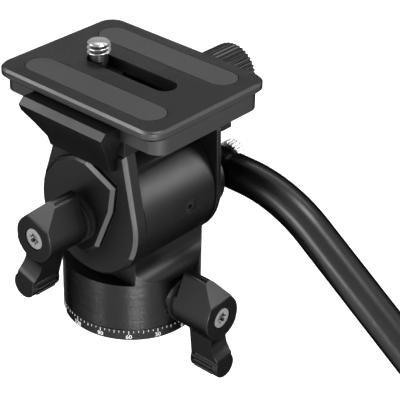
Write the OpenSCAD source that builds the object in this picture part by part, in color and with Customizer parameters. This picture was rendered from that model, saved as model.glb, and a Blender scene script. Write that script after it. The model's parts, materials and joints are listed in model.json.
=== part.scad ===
// Compact fluid video head: pan base, tilt cylinder, dovetail clamp, plate and bent pan handle.
// Millimetres. +Z is up the pan axis from the tripod face, +Y is where the lens looks, +X is the
// operator's right hand side.

/* [Base] */
// Diameter of the base ring and of the pot above it
base_d = 38.6; // [38:0.1:40]
// Height of the base ring that carries the pan dial
dial_ring_h = 3.5; // [3.2:0.1:4]
// Open seam between the base ring and the turning pot
seam_gap = 0.3; // [0.2:0.05:0.5]
// Major diameter of the tripod thread, three eighths of an inch
socket_d = 9.525; // [9.525:0.001:9.525]
// Outer diameter of the steel insert that holds the tripod thread
socket_insert_d = 13; // [12:0.1:13.4]
// Depth of the tripod thread
socket_depth = 9; // [8:0.1:9.4]

/* [Pan housing] */
// Height of the pot from the seam to its flat rim
pot_h = 14.1; // [14:0.05:14.3]
// Width of the neck block, which is also the length of the tilt cylinder
housing_w = 26.6; // [26:0.1:27]
// Depth of the neck block front to back
neck_d = 28; // [26:0.1:29]
// Radius of the coves that blend the neck into the pot rim
neck_cove_r = 5; // [3:0.1:5.2]
// Height of the tilt axis above the tripod face
tilt_z = 37.1; // [37:0.05:38]
// Diameter of the tilt cylinder
tilt_d = 36.4; // [35:0.1:36.6]
// Diameter of the brake drum inside the pot
drum_d = 25; // [24:0.1:25.4]

/* [Arms] */
// Thickness of the left arm plate
left_arm_t = 3.9; // [3.5:0.1:4.2]
// Height that the boss stands out of the left arm
boss_h = 2.1; // [1.5:0.1:2.4]
// Thickness of the right arm plate
right_arm_t = 2.5; // [2.4:0.1:2.8]
// Diameter of the round part of both arms
arm_d = 35.2; // [34.6:0.1:35.4]
// Bevel along the outer edge of both arms
arm_bevel = 0.9; // [0.5:0.1:1.1]

/* [Clamp] */
// Length of the clamp bed and of its jaws, front to back
clamp_len = 29.6; // [28:0.1:32]
// Travel of the moving jaw from closed to open
jaw_travel = 2.1; // [1.4:0.1:2.4]
// Diameter of the clamp knob
clamp_knob_d = 16; // [14:0.1:16.6]
// Length of the knurled barrel of the clamp knob
clamp_knob_len = 10; // [8:0.1:12]
// Number of flutes round the clamp knob
clamp_knob_flutes = 40; // [24:1:48]

/* [Plate] */
// Length of the quick release plate
plate_l = 57.3; // [55:0.1:62]
// Width of the quick release plate
plate_w = 43.9; // [43:0.1:46]
// Full thickness of the quick release plate
plate_t = 7.22; // [7.1:0.01:7.6]
// Width across the dovetail corners that the jaws hold
dovetail_w = 38.8; // [38.6:0.05:38.9]
// Major diameter of the camera screw, a quarter of an inch
camera_screw_d = 6.35; // [6.35:0.01:6.35]
// Height of the camera screw above the plate
camera_screw_h = 4.94; // [4.5:0.01:5.5]
// Distance that the camera screw can slide
screw_slide = 23.5; // [20:0.1:24]

/* [Knobs] */
// Length of a wing knob along its screw
knob_len = 13.2; // [12.8:0.1:13.6]
// Height of the hub's crest above the screw
knob_crest = 10.6; // [9.6:0.1:10.8]
// Radius of the hub round its screw
knob_head_r = 6.3; // [6:0.1:6.6]
// Distance from the knob axis to the middle of the wing tip
wing_reach = 17; // [14:0.1:17.2]
// Radius of the wing tip
wing_tip_r = 3.65; // [3:0.05:3.8]
// Depth of the wing along the knob axis
wing_depth = 9.5; // [7:0.1:10]

/* [Handle] */
// Outer diameter of the handle tube
tube_d = 10.4; // [9.6:0.1:10.6]
// Wall of the handle tube
tube_wall = 1.2; // [1:0.1:1.6]
// Radius of the bend in the handle tube
bend_r = 41.9; // [38:0.1:50]
// Angle of the bend in the handle tube
bend_angle = 35.1; // [25:0.1:45]
// Straight length of the handle beyond the bend
tail_len = 180; // [160:1:240]
// Diameter of the rubber grip
grip_d = 25; // [22:0.1:26]
// Length of the rubber grip
grip_len = 108; // [90:1:120]

/* [Hidden] */

$fn = 96;

// Overrun of every cut
over = 0.5;
// Room between pieces that are fixed together
fit_gap = 0.02;
// Room on the radius of pieces that turn in each other
run_gap = 0.06;
// Room between flat faces that slide
slide_gap = 0.05;

base_r = base_d / 2;
pot_z = dial_ring_h + seam_gap;
rim_z = pot_z + pot_h;
housing_x = housing_w / 2;
neck_y = neck_d / 2;
tilt_r = tilt_d / 2;

// Pan drum, its post and the stack on top of it
drum_r = drum_d / 2;
drum_gap = 0.6;
cavity_r = drum_r + drum_gap;
drum_top_z = 12.4;
disc_t = 0.8;
cavity_top_z = drum_top_z + disc_t + 2 * slide_gap;
post_r = 6;
post_top_z = 18.6;
post_headroom = 0.4;
web_t = 1.2;
web_z = post_top_z + post_headroom + web_t;
thrust_t = 0.8;
wave_t = 0.8;
stack_z = web_z + slide_gap + thrust_t + slide_gap + wave_t + slide_gap;
bolt_r = 2.95;
bolt_head_r = 5;
bolt_head_h = 2.7;
bolt_foot_h = 1;
bolt_foot_z = socket_depth + bolt_foot_h;
bolt_key_r = 2.3;
bolt_key_depth = 1.5;
head_pocket_r = 6.5;
disc_in_r = 7;
disc_out_r = 12.2;
thrust_in_r = 3.2;
thrust_out_r = 6.2;
socket_r = socket_d / 2;
insert_r = socket_insert_d / 2;
spindle_screw_pitch_r = 9.6;
spindle_screw_r = 1.5;
spindle_screw_head_r = 2.8;
spindle_screw_head_h = 1.4;
spindle_screw_sink = 0.2;
spindle_screw_len = 8;
spindle_screw_count = 3;
seal_in_r = 14;
seal_inset = 0.7;
seal_out_r = base_r - seal_inset;
ring_edge = 0.4;

// Tilt axle and what sits round it
axle_r = 5;
rotor_r = 10;
rotor_half = 6.5;
cartridge_r = 12;
cartridge_half = 7.2;
bearing_t = 4;
bearing_x = cartridge_half + fit_gap;
cap_t = 1.7;
cap_x = housing_x - cap_t - slide_gap;
cap_in_r = 5.4;
washer_out_r = 15;
left_washer_t = 0.6;
right_washer_t = 0.3;
left_arm_x = housing_x + slide_gap + left_washer_t + slide_gap;
right_arm_x = housing_x + slide_gap + right_washer_t + slide_gap;
left_face_x = left_arm_x + left_arm_t;
right_face_x = right_arm_x + right_arm_t;
boss_face_x = left_face_x + boss_h;
axle_pocket = 1.5;
axle_end_gap = 0.1;
set_screw_x = 4;
set_screw_drop = 0.3;
set_screw_z = tilt_z - set_screw_drop;
set_screw_r = 1.5;
set_screw_len = 3.5;
set_screw_sink = 0.5;
set_screw_key_r = 0.8;
set_screw_key_depth = 1.2;
spot_face_r = 2.1;
spot_face_depth = 0.3;
line_from_x = 2;
line_w = 0.35;
line_depth = 0.5;
line_angle = 49.6;

// Arms, measured from the tilt axis
arm_r = arm_d / 2;
arm_back = 1.1;
arm_top_z = 59.3;
arm_flange_t = 3;
arm_flange_y = 10;
arm_flange_in_x = 6;
arm_rear_y = 14.8;
arm_shoulder_z = 55;
arm_hip_y = 17.8;
arm_hip_z = 43.5;
arm_front_y = 10;
arm_front_z = 52.2;
arm_cheek_y = 13.6;
arm_cheek_z = 48.3;
right_rear_y = 18.1;
right_shoulder_z = 56;
boss_bevel = 0.9;
boss_top_rear_y = -3;
boss_top_front_y = 1.3;
boss_top_z = 54.5;
boss_front_top_y = 8.3;
boss_front_top_z = 51.2;
boss_rear_y = -12.8;
boss_rear_z = 50.1;
boss_waist_y = -11.7;
boss_waist_z = 42.5;
boss_low_y = -6.4;
boss_low_z = 29.7;
boss_foot_y = -1.8;
boss_foot_z = 25.9;
boss_front_low_y = 10.4;
boss_front_low_z = 27.4;
boss_front_mid_y = 13.8;
boss_front_mid_z = 35;
boss_front_y = 14.1;
boss_front_z = 40.2;
boss_cheek_y = 13;
boss_cheek_z = 45.6;
arm_screw_x = 10;
arm_screw_y = 6.5;
arm_screw_r = 1.5;
arm_screw_head_r = 2.9;
arm_screw_head_h = 1.5;
arm_screw_sink = 0.2;
arm_screw_len = 7;
arm_screw_key_r = 1;
arm_screw_key_depth = 0.9;

// Plate heights and its dovetail
plate_z = 64.7;
plate_top_z = plate_z + plate_t;
bed_top_z = plate_z - slide_gap;
slab_t = 2.67;
slab_z = plate_top_z - slab_t;
dovetail_x = dovetail_w / 2;
groove_depth = 1.9;
groove_root_x = dovetail_x - groove_depth;
dovetail_corner_h = 3.35;
dovetail_corner_z = plate_z + dovetail_corner_h;
plate_edge = 0.6;
plate_corner_r = 5;
foot_corner_r = 4.2;
recess_r = 7.8;
web_under_h = 3.9;
slot_room = 0.12;
slot_r = camera_screw_d / 2 + slot_room;
pad_x = 13.4;
pad_w = 9;
pad_l = 47.6;
pad_depth = 0.6;
pad_proud = 0.1;
pad_gap = 0.25;

// Camera screw
screw_y = screw_slide / 2;
neck_r = 2.5;
thread_foot_h = 1;
screw_chamfer = 0.6;
screw_head_r = 7.3;
screw_head_lift = 0.5;
screw_head_z = plate_z + screw_head_lift;
screw_head_t = 2.7;
screw_washer_t = 0.55;
screw_washer_r = 6.5;
coin_slot_w = 1.6;
coin_slot_depth = 1.3;

// Jaws, measured as the left jaw is and mirrored for the right one
jaw_top_z = 68.5;
jaw_lip_run = 0.65;
// The jaws stand off the dovetail, or off the ear beside the right arm where that reaches further
ear_t = 2.7;
ear_gap = 0.5;
jaw_wall_x = max(dovetail_x, right_face_x + ear_t + ear_gap);
jaw_out_run = 6.6;
jaw_out_x = jaw_wall_x + jaw_out_run;
jaw_bevel_run = 4.9;
jaw_bevel_x = jaw_wall_x + jaw_bevel_run;
jaw_bevel_z = 66.9;
jaw_chin_run = 5.9;
jaw_chin_x = jaw_wall_x + jaw_chin_run;
jaw_chin_z = 65;
jaw_mid_run = 3.6;
jaw_mid_x = jaw_wall_x + jaw_mid_run;
jaw_mid_z = 61.3;
jaw_low_run = 1.5;
jaw_low_x = jaw_wall_x + jaw_low_run;
jaw_low_z = 57.4;
jaw_foot_run = 0.5;
jaw_foot_x = jaw_wall_x + jaw_foot_run;
jaw_foot_z = 54.6;
jaw_wrap_gap = 0.05;
jaw_half = clamp_len / 2;
jaw_foot_half = 12;
jaw_foot_front = 10;
dovetail_gap = 0.05;
bed_right_x = jaw_wall_x - ear_gap;
jaw_relief = 0.1;
jaw_back_x = jaw_wall_x + dovetail_gap + jaw_relief;
moving_jaw_foot_z = 52.2;
moving_jaw_foot_run = 4;
moving_jaw_foot_x = jaw_wall_x + moving_jaw_foot_run;
rib_half = 3.6;
rib_in_x = 8;
rib_foot_z = 55.75;
rib_gap = 0.3;
ear_foot_z = 54.6;
clamp_axis_z = 58.2;
clamp_screw_r = 2;
clamp_screw_tip_x = 9;
clamp_thread_end_x = 8.4;
jaw_boss_r = 5.6;
jaw_boss_run = 8.7;
jaw_boss_x = jaw_wall_x + jaw_boss_run;
knob_washer_t = 0.8;
clamp_knob_r = clamp_knob_d / 2;
clamp_cone_len = 2.8;
clamp_cone_r = 6.2;
flute_r = 0.45;
clamp_knob_in_x = jaw_boss_x + knob_washer_t + 2 * slide_gap;
clamp_barrel_x = clamp_knob_in_x + clamp_cone_len;
clamp_knob_out_x = clamp_barrel_x + clamp_knob_len;
clamp_knob_dish_r = 5.4;
clamp_knob_dish = 0.8;
guide_pin_r = 1.5;
guide_pin_y = 9.4;
guide_pin_z = 62;
guide_pin_l = 8.9;
guide_pin_hold = 0.35;
guide_pin_out_x = jaw_back_x + jaw_travel + guide_pin_hold;
guide_pin_in_x = guide_pin_out_x - guide_pin_l;
guide_pin_end_gap = 0.5;
spring_y = 5.2;
spring_r = 1.3;
spring_wire_r = 0.28;
spring_reach = 2;
spring_l = 6;
spring_out_x = jaw_wall_x + spring_reach;
spring_in_x = spring_out_x - spring_l;
spring_turns = 5;
spring_pocket_r = 1.75;
spring_ring_steps = 10;
spring_wire_sides = 6;

// Wing knobs
knob_neck_r = 5.8;
knob_neck_h = 1.3;
knob_crest_r = 1.8;
knob_facet_run = 4.4;
knob_facet_drop = 5.3;
waist_half = 3.1;
waist_fillet = 3;
waist_cut_r = 5.5;
waist_cut_v = 9.3;
waist_cut_h = 2;
rib_r = 0.5;
rib_from_angle = -14;
rib_step_angle = 26;
rib_end_gap = 1.6;
rib_count = 3;
cap_recess_r = 3.15;
cap_recess_depth = 1;
cap_head_r = 2.85;
cap_shank_r = 1.5;
cap_shank_len = 6;
cap_proud = 0.7;
star_r = 1.25;
star_lobe_r = 0.45;
star_depth = 1;
stud_r = 3;
stud_in_knob = 4.5;
pan_knob_z = 10.2;
pan_boss_r = 6.2;
pan_boss_proud = 0.3;
pan_boss_y = base_r + pan_boss_proud;
pan_washer_t = 0.6;
pan_knob_y = pan_boss_y + slide_gap + pan_washer_t + slide_gap;
pan_wing_angle = 6;
pan_stud_y = 15.6;
shoe_gap = 0.05;
knob_washer_in_r = 3.1;
knob_washer_out_r = 6.4;
tilt_collar_t = 2.7;
tilt_collar_r = 6.6;
tilt_collar_groove = 0.7;
tilt_knob_x = boss_face_x + slide_gap + tilt_collar_t + slide_gap;
tilt_wing_angle = 16;
tilt_stud_end_x = 8;

// Handle and its mount
tube_r = tube_d / 2;
bore_r = tube_r - tube_wall;
// The wall thins a little where the tube is bent
bend_draw = 0.02;
handle_pivot_y = -7;
mount_r = 10;
mount_face_x = 20.5;
mount_bevel = 1.6;
rosette_r = 6.4;
rosette_t = 1.6;
rosette_gap = 0.05;
rosette_x = mount_face_x + rosette_gap;
handle_x = 26.2;
barrel_end_y = -12;
ring_len = 1.6;
ring_r = 4.5;
tube_front_y = barrel_end_y - ring_len;
bend_y = -18.3;
spigot_end_y = -17.8;
bolt_shank_r = 2;
bolt_tip_x = 17.2;
bolt_cap_r = 4;
bolt_cap_x = 31.7;
bolt_cap_len = 3.4;
bolt_flute_r = 0.4;
bolt_flutes = 24;
mount_screw_z = 6;
mount_screw_r = 1.25;
mount_screw_head_r = 2.2;
mount_screw_head_h = 1.2;
mount_screw_sink = 0.1;
mount_screw_tip_gap = 0.3;
grip_from = tail_len - grip_len;
grip_end_r = 1.6;
end_cap_len = 4;
end_cap_plug = 10;
grip_rib_count = 14;
grip_rib_r = 0.7;
grip_rib_margin = 12;
grip_rib_pitch = (grip_len - 2 * grip_rib_margin) / (grip_rib_count - 1);

// Plain cylinders along each axis, from one place to another
module x_rod(r, x0, x1, y = 0, z = 0) {
    translate([x0, y, z]) rotate([0, 90, 0]) cylinder(r = r, h = x1 - x0);
}

module y_rod(r, y0, y1, x = 0, z = 0) {
    translate([x, y0, z]) rotate([-90, 0, 0]) cylinder(r = r, h = y1 - y0);
}

module z_rod(r, z0, z1, x = 0, y = 0) {
    translate([x, y, z0]) cylinder(r = r, h = z1 - z0);
}

// Rings along X and Z
module x_ring(r_out, r_in, x0, x1, y = 0, z = 0) {
    difference() {
        x_rod(r_out, x0, x1, y, z);
        x_rod(r_in, x0 - over, x1 + over, y, z);
    }
}

module z_ring(r_out, r_in, z0, z1) {
    difference() {
        z_rod(r_out, z0, z1);
        z_rod(r_in, z0 - over, z1 + over);
    }
}

// A block between two corners
module block(a, b) {
    translate(a) cube([b[0] - a[0], b[1] - a[1], b[2] - a[2]]);
}

// Turns a flat outline drawn in front-to-back and up into a slab between two places on X
module side_slab(x0, x1) {
    translate([x0, 0, 0]) rotate([90, 0, 90]) linear_extrude(x1 - x0) children();
}

// Turns a flat outline drawn in left-to-right and up into a slab between two places on Y
module end_slab(y0, y1) {
    translate([0, y1, 0]) rotate([90, 0, 0]) linear_extrude(y1 - y0) children();
}

// Flat slot shape with round ends, along Y
module slot_2d(r, half) {
    for (side = [-1, 1]) translate([0, side * half]) circle(r = r);
    translate([-r, -half]) square([2 * r, 2 * half]);
}

// Flat rectangle with round corners
module round_rect_2d(w, l, r) {
    square([w - 2 * r, l], center = true);
    square([w, l - 2 * r], center = true);
    for (sx = [-1, 1], sy = [-1, 1]) translate([sx * (w / 2 - r), sy * (l / 2 - r)]) circle(r = r);
}

// Countersunk screw that points up from z = 0
module sunk_screw(r, head_r, head_h, len) {
    cylinder(r1 = head_r, r2 = r, h = head_h);
    cylinder(r = r, h = len);
}

// Base

module spindle_screw_places() {
    for (i = [0 : spindle_screw_count - 1]) rotate([0, 0, i * 360 / spindle_screw_count])
        translate([0, spindle_screw_pitch_r, spindle_screw_sink]) children();
}

module base_plate() {
    color("#202124") difference() {
        union() {
            cylinder(r1 = base_r - ring_edge, r2 = base_r, h = ring_edge);
            z_rod(base_r, ring_edge, dial_ring_h);
        }
        z_rod(insert_r + fit_gap, -over, dial_ring_h + over);
        spindle_screw_places() {
            sunk_screw(spindle_screw_r + fit_gap, spindle_screw_head_r + fit_gap,
                spindle_screw_head_h, dial_ring_h + over);
            translate([0, 0, -over]) cylinder(r = spindle_screw_head_r + fit_gap, h = over);
        }
    }
}

module tripod_socket() {
    color("#b9bcc0") difference() {
        z_rod(insert_r, 0, socket_depth);
        z_rod(socket_r, -over, socket_depth + over);
    }
}

module pan_spindle() {
    color("#8d9094") difference() {
        union() {
            z_rod(drum_r, dial_ring_h, drum_top_z);
            z_rod(post_r, drum_top_z, post_top_z);
        }
        z_rod(insert_r + fit_gap, 0, socket_depth + fit_gap);
        z_rod(bolt_r + fit_gap, socket_depth, post_top_z + over);
        spindle_screw_places() cylinder(r = spindle_screw_r + fit_gap, h = spindle_screw_len + over);
    }
}

module spindle_screws() {
    color("#9b9ea2") spindle_screw_places() difference() {
        sunk_screw(spindle_screw_r, spindle_screw_head_r, spindle_screw_head_h, spindle_screw_len);
        translate([0, 0, -over])
            cylinder(r = arm_screw_key_r, h = over + arm_screw_key_depth, $fn = 6);
    }
}

module dust_seal() {
    color("#101113") z_ring(seal_out_r, seal_in_r, dial_ring_h, pot_z - slide_gap);
}

module pan_center_bolt() {
    color("#9b9ea2") difference() {
        union() {
            z_rod(bolt_r, bolt_foot_z, stack_z);
            z_rod(bolt_head_r, stack_z, stack_z + bolt_head_h);
        }
        z_rod(bolt_key_r, stack_z + bolt_head_h - bolt_key_depth, stack_z + bolt_head_h + over);
    }
}

module pan_friction_disc() {
    color("#e8e6df") z_ring(disc_out_r, disc_in_r, drum_top_z + slide_gap, drum_top_z + slide_gap + disc_t);
}

module pan_thrust_washer() {
    color("#c9a86a") z_ring(thrust_out_r, thrust_in_r, web_z + slide_gap, web_z + slide_gap + thrust_t);
}

module pan_wave_washer() {
    color("#8d9094") z_ring(thrust_out_r, thrust_in_r, stack_z - slide_gap - wave_t, stack_z - slide_gap);
}

// Main housing

module neck_shape() {
    intersection() {
        z_rod(base_r, rim_z - over, tilt_z);
        union() {
            block([-housing_x, -neck_y, rim_z - over], [housing_x, neck_y, tilt_z]);
            difference() {
                block([-housing_x, -neck_y - neck_cove_r, rim_z - over],
                    [housing_x, neck_y + neck_cove_r, rim_z + neck_cove_r]);
                for (side = [-1, 1]) x_rod(neck_cove_r, -housing_x - over, housing_x + over,
                    side * (neck_y + neck_cove_r), rim_z + neck_cove_r);
            }
        }
    }
}

module main_housing() {
    color("#232427") difference() {
        union() {
            z_rod(base_r, pot_z, rim_z);
            neck_shape();
            x_rod(tilt_r, -housing_x, housing_x, 0, tilt_z);
            y_rod(pan_boss_r, -pan_boss_y, -neck_y, 0, pan_knob_z);
        }
        z_rod(cavity_r, pot_z - over, cavity_top_z);
        z_rod(post_r + run_gap, cavity_top_z - over, post_top_z + post_headroom);
        z_rod(thrust_in_r, post_top_z, web_z + over);
        z_rod(head_pocket_r, web_z, tilt_z);
        x_rod(cartridge_r + fit_gap, -housing_x - over, housing_x + over, 0, tilt_z);
        y_rod(stud_r + fit_gap, -pan_boss_y - over, -cavity_r + over, 0, pan_knob_z);
        y_rod(set_screw_r + fit_gap, -tilt_r - over, -cartridge_r + over, set_screw_x, set_screw_z);
        y_rod(spot_face_r, -tilt_r - over, -tilt_r + spot_face_depth, set_screw_x, set_screw_z);
        translate([0, 0, tilt_z]) rotate([-line_angle, 0, 0])
            block([line_from_x, -tilt_r - over, 0], [housing_x + over, -tilt_r + line_depth, line_w]);
    }
}

module tilt_set_screw() {
    color("#17181a") difference() {
        y_rod(set_screw_r, -tilt_r + set_screw_sink, -tilt_r + set_screw_sink + set_screw_len,
            set_screw_x, set_screw_z);
        y_rod(set_screw_key_r, -tilt_r, -tilt_r + set_screw_sink + set_screw_key_depth, set_screw_x,
            set_screw_z);
    }
}

module pan_brake_shoe() {
    color("#c9a86a") difference() {
        y_rod(stud_r, -pan_stud_y + shoe_gap, -drum_r + over, 0, pan_knob_z);
        z_rod(drum_r + shoe_gap, 0, rim_z);
    }
}

module tilt_cartridge() {
    color("#8d9094") x_ring(cartridge_r, rotor_r + run_gap, -cartridge_half, cartridge_half, 0, tilt_z);
}

module tilt_bearings() {
    color("#c9a86a") for (side = [0, 1]) mirror([side, 0, 0])
        x_ring(cartridge_r, axle_r + run_gap, bearing_x, bearing_x + bearing_t, 0, tilt_z);
}

module tilt_end_caps() {
    color("#3a3c3f") for (side = [0, 1]) mirror([side, 0, 0])
        x_ring(cartridge_r, cap_in_r, cap_x, housing_x - slide_gap, 0, tilt_z);
}

module tilt_friction_washers() {
    color("#e8e6df") {
        x_ring(washer_out_r, cap_in_r, -housing_x - slide_gap - left_washer_t, -housing_x - slide_gap,
            0, tilt_z);
        x_ring(washer_out_r, cap_in_r, housing_x + slide_gap, housing_x + slide_gap + right_washer_t,
            0, tilt_z);
    }
}

// Wing knobs, drawn with the screw axis on Z, the outer face up and the wing along -Y

module hub_outline() {
    hull() {
        circle(r = knob_head_r);
        translate([0, knob_crest - knob_crest_r]) circle(r = knob_crest_r);
    }
}

module wing_outline() {
    offset(r = -waist_fillet) offset(r = waist_fillet) {
        hub_outline();
        translate([0, -wing_reach]) circle(r = wing_tip_r);
        translate([-waist_half, -wing_reach]) square([2 * waist_half, wing_reach]);
    }
}

module wing_ribs() {
    for (side = [0, 1], i = [0 : rib_count - 1]) mirror([side, 0, 0])
        translate([0, -wing_reach, knob_len - wing_depth + rib_end_gap])
            rotate([0, 0, rib_from_angle + i * rib_step_angle]) translate([wing_tip_r, 0, 0])
                cylinder(r = rib_r, h = wing_depth - 2 * rib_end_gap);
}

module wing_knob() {
    facet_tilt = atan2(knob_facet_drop, knob_facet_run);
    difference() {
        union() {
            z_rod(knob_neck_r, 0, knob_neck_h + over);
            translate([0, 0, knob_neck_h]) linear_extrude(knob_len - knob_neck_h) hub_outline();
            difference() {
                translate([0, 0, knob_len - wing_depth]) linear_extrude(wing_depth) wing_outline();
                x_rod(waist_cut_r, -base_r, base_r, -waist_cut_v, knob_len + waist_cut_r - waist_cut_h);
            }
            wing_ribs();
        }
        translate([0, knob_crest - knob_facet_drop, knob_len]) rotate([facet_tilt, 0, 0])
            block([-base_r, 0, -base_r], [base_r, base_r, base_r]);
        z_rod(cap_recess_r, knob_len - cap_recess_depth, knob_len + over);
        z_rod(stud_r + fit_gap, -over, stud_in_knob + fit_gap);
        z_rod(cap_shank_r + fit_gap, 0, knob_len);
    }
}

module cap_screw() {
    head_z = knob_len - cap_recess_depth + fit_gap;
    difference() {
        union() {
            z_rod(cap_head_r, head_z, head_z + cap_proud);
            z_rod(cap_shank_r, head_z - cap_shank_len, head_z);
        }
        z_rod(star_r, head_z + cap_proud - star_depth, head_z + cap_proud + over);
        for (i = [0 : 5]) rotate([0, 0, i * 60])
            z_rod(star_lobe_r, head_z + cap_proud - star_depth, head_z + cap_proud + over, star_r);
    }
}

module on_pan_knob() {
    translate([0, -pan_knob_y, pan_knob_z]) rotate([90, 0, 0]) rotate([0, 0, pan_wing_angle]) children();
}

module on_tilt_knob() {
    translate([-tilt_knob_x, 0, tilt_z]) rotate([90, 0, -90]) rotate([0, 0, -tilt_wing_angle]) children();
}

module pan_knob_washer() {
    color("#17181a") difference() {
        y_rod(knob_washer_out_r, -pan_boss_y - slide_gap - pan_washer_t, -pan_boss_y - slide_gap,
            0, pan_knob_z);
        y_rod(knob_washer_in_r, -pan_knob_y - over, -pan_boss_y + over, 0, pan_knob_z);
    }
}

module pan_lock_knob() {
    color("#2b2c2f") on_pan_knob() wing_knob();
}

module pan_knob_screw() {
    color("#c4c6c9") on_pan_knob() cap_screw();
}

module lock_stud(reach) {
    difference() {
        z_rod(stud_r, -reach, stud_in_knob);
        z_rod(cap_shank_r + fit_gap, 0, stud_in_knob + over);
    }
}

module pan_lock_stud() {
    color("#9b9ea2") on_pan_knob() lock_stud(pan_knob_y - pan_stud_y);
}

module tilt_knob_collar() {
    color("#17181a") difference() {
        x_ring(tilt_collar_r, knob_washer_in_r, -boss_face_x - slide_gap - tilt_collar_t,
            -boss_face_x - slide_gap, 0, tilt_z);
        x_ring(tilt_collar_r + over, tilt_collar_r - tilt_collar_groove,
            -boss_face_x - tilt_collar_t / 2 - tilt_collar_groove, -boss_face_x - tilt_collar_t / 2,
            0, tilt_z);
    }
}

module tilt_lock_knob() {
    color("#2b2c2f") on_tilt_knob() wing_knob();
}

module tilt_knob_screw() {
    color("#c4c6c9") on_tilt_knob() cap_screw();
}

module tilt_lock_stud() {
    color("#9b9ea2") on_tilt_knob() lock_stud(tilt_knob_x - tilt_stud_end_x);
}

// Arms

module left_arm_outline() {
    translate([-arm_back, tilt_z]) circle(r = arm_r);
    polygon([[-arm_hip_y, arm_hip_z], [-arm_rear_y, arm_shoulder_z], [-arm_rear_y, arm_top_z],
        [arm_front_y, arm_top_z], [arm_front_y, arm_front_z], [arm_cheek_y, arm_cheek_z],
        [0, tilt_z]]);
}

module right_arm_outline() {
    translate([-arm_back, tilt_z]) circle(r = arm_r);
    polygon([[-right_rear_y, tilt_z], [-right_rear_y, right_shoulder_z], [-arm_rear_y, arm_top_z],
        [arm_front_y, arm_top_z], [arm_front_y, arm_front_z], [arm_cheek_y, arm_cheek_z],
        [0, tilt_z]]);
}

module boss_outline() {
    polygon([[boss_top_front_y, boss_top_z], [boss_top_rear_y, boss_top_z], [boss_rear_y, boss_rear_z],
        [boss_waist_y, boss_waist_z], [boss_low_y, boss_low_z], [boss_foot_y, boss_foot_z],
        [boss_front_low_y, boss_front_low_z],
        [boss_front_mid_y, boss_front_mid_z], [boss_front_y, boss_front_z],
        [boss_cheek_y, boss_cheek_z], [boss_front_top_y, boss_front_top_z]]);
}

module arm_screw_holes(side) {
    for (end = [-1, 1]) z_rod(arm_screw_r + fit_gap, arm_top_z - arm_flange_t - over, arm_top_z + over,
        side * arm_screw_x, end * arm_screw_y);
}

module left_arm() {
    color("#232427") difference() {
        union() {
            hull() {
                side_slab(-left_face_x + arm_bevel, -left_arm_x) left_arm_outline();
                side_slab(-left_face_x, -left_face_x + arm_bevel) offset(delta = -arm_bevel)
                    left_arm_outline();
            }
            hull() {
                side_slab(-boss_face_x + boss_bevel, -left_face_x + over) boss_outline();
                side_slab(-boss_face_x, -boss_face_x + boss_bevel) offset(delta = -boss_bevel)
                    boss_outline();
            }
            block([-left_face_x + arm_bevel, -arm_flange_y, arm_top_z - arm_flange_t],
                [-arm_flange_in_x, arm_flange_y, arm_top_z]);
        }
        x_rod(axle_r + fit_gap, -left_face_x, -left_arm_x + over, 0, tilt_z);
        x_rod(stud_r + fit_gap, -boss_face_x - over, -left_arm_x, 0, tilt_z);
        arm_screw_holes(-1);
    }
}

module right_arm() {
    color("#232427") difference() {
        union() {
            hull() {
                side_slab(right_arm_x, right_face_x - arm_bevel) right_arm_outline();
                side_slab(right_face_x - arm_bevel, right_face_x) offset(delta = -arm_bevel)
                    right_arm_outline();
            }
            block([arm_flange_in_x, -arm_flange_y, arm_top_z - arm_flange_t],
                [right_face_x - arm_bevel, arm_flange_y, arm_top_z]);
        }
        block([arm_flange_in_x - over, -rib_half - rib_gap, rib_foot_z - rib_gap],
            [right_face_x + over, rib_half + rib_gap, arm_top_z + over]);
        x_rod(axle_r + fit_gap, right_arm_x - over, right_arm_x + axle_pocket, 0, tilt_z);
        arm_screw_holes(1);
        for (end = [-1, 1]) x_rod(mount_screw_r + fit_gap, right_arm_x - over, right_face_x + over,
            handle_pivot_y, tilt_z + end * mount_screw_z);
    }
}

module tilt_axle() {
    color("#b9bcc0") difference() {
        x_rod(axle_r, -left_face_x + axle_end_gap, right_arm_x + axle_pocket - axle_end_gap, 0, tilt_z);
        x_rod(stud_r + fit_gap, -left_face_x - over, -tilt_stud_end_x + over, 0, tilt_z);
    }
}

module tilt_rotor() {
    color("#c9a86a") x_ring(rotor_r, axle_r + fit_gap, -rotor_half, rotor_half, 0, tilt_z);
}

module arm_screw_places() {
    for (sx = [-1, 1], sy = [-1, 1])
        translate([sx * arm_screw_x, sy * arm_screw_y, bed_top_z - arm_screw_sink]) mirror([0, 0, 1])
            children();
}

module arm_screws() {
    color("#9b9ea2") arm_screw_places() difference() {
        sunk_screw(arm_screw_r, arm_screw_head_r, arm_screw_head_h, arm_screw_len);
        translate([0, 0, -over]) cylinder(r = arm_screw_key_r, h = over + arm_screw_key_depth, $fn = 6);
    }
}

// Clamp

// Outside line of a jaw, from its foot up to its lip
function jaw_side() = [[jaw_foot_x, jaw_foot_z], [jaw_low_x, jaw_low_z], [jaw_mid_x, jaw_mid_z],
    [jaw_chin_x, jaw_chin_z], [jaw_out_x, jaw_bevel_z], [jaw_bevel_x, jaw_top_z]];

// Inside line of a jaw, from its lip down the dovetail wall
function jaw_inside() = [[dovetail_x + dovetail_gap - jaw_lip_run, jaw_top_z],
    [dovetail_x + dovetail_gap, dovetail_corner_z + dovetail_gap]];

module clamp_bed_outline() {
    mirror([1, 0]) polygon(concat([[left_face_x + jaw_wrap_gap, jaw_foot_z]], jaw_side(), jaw_inside(),
        [[dovetail_x + dovetail_gap, bed_top_z], [-bed_right_x, bed_top_z], [-bed_right_x, ear_foot_z],
        [-right_face_x - jaw_wrap_gap, ear_foot_z], [-right_face_x - jaw_wrap_gap, arm_top_z + slide_gap],
        [left_face_x + jaw_wrap_gap, arm_top_z + slide_gap]]));
}

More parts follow.
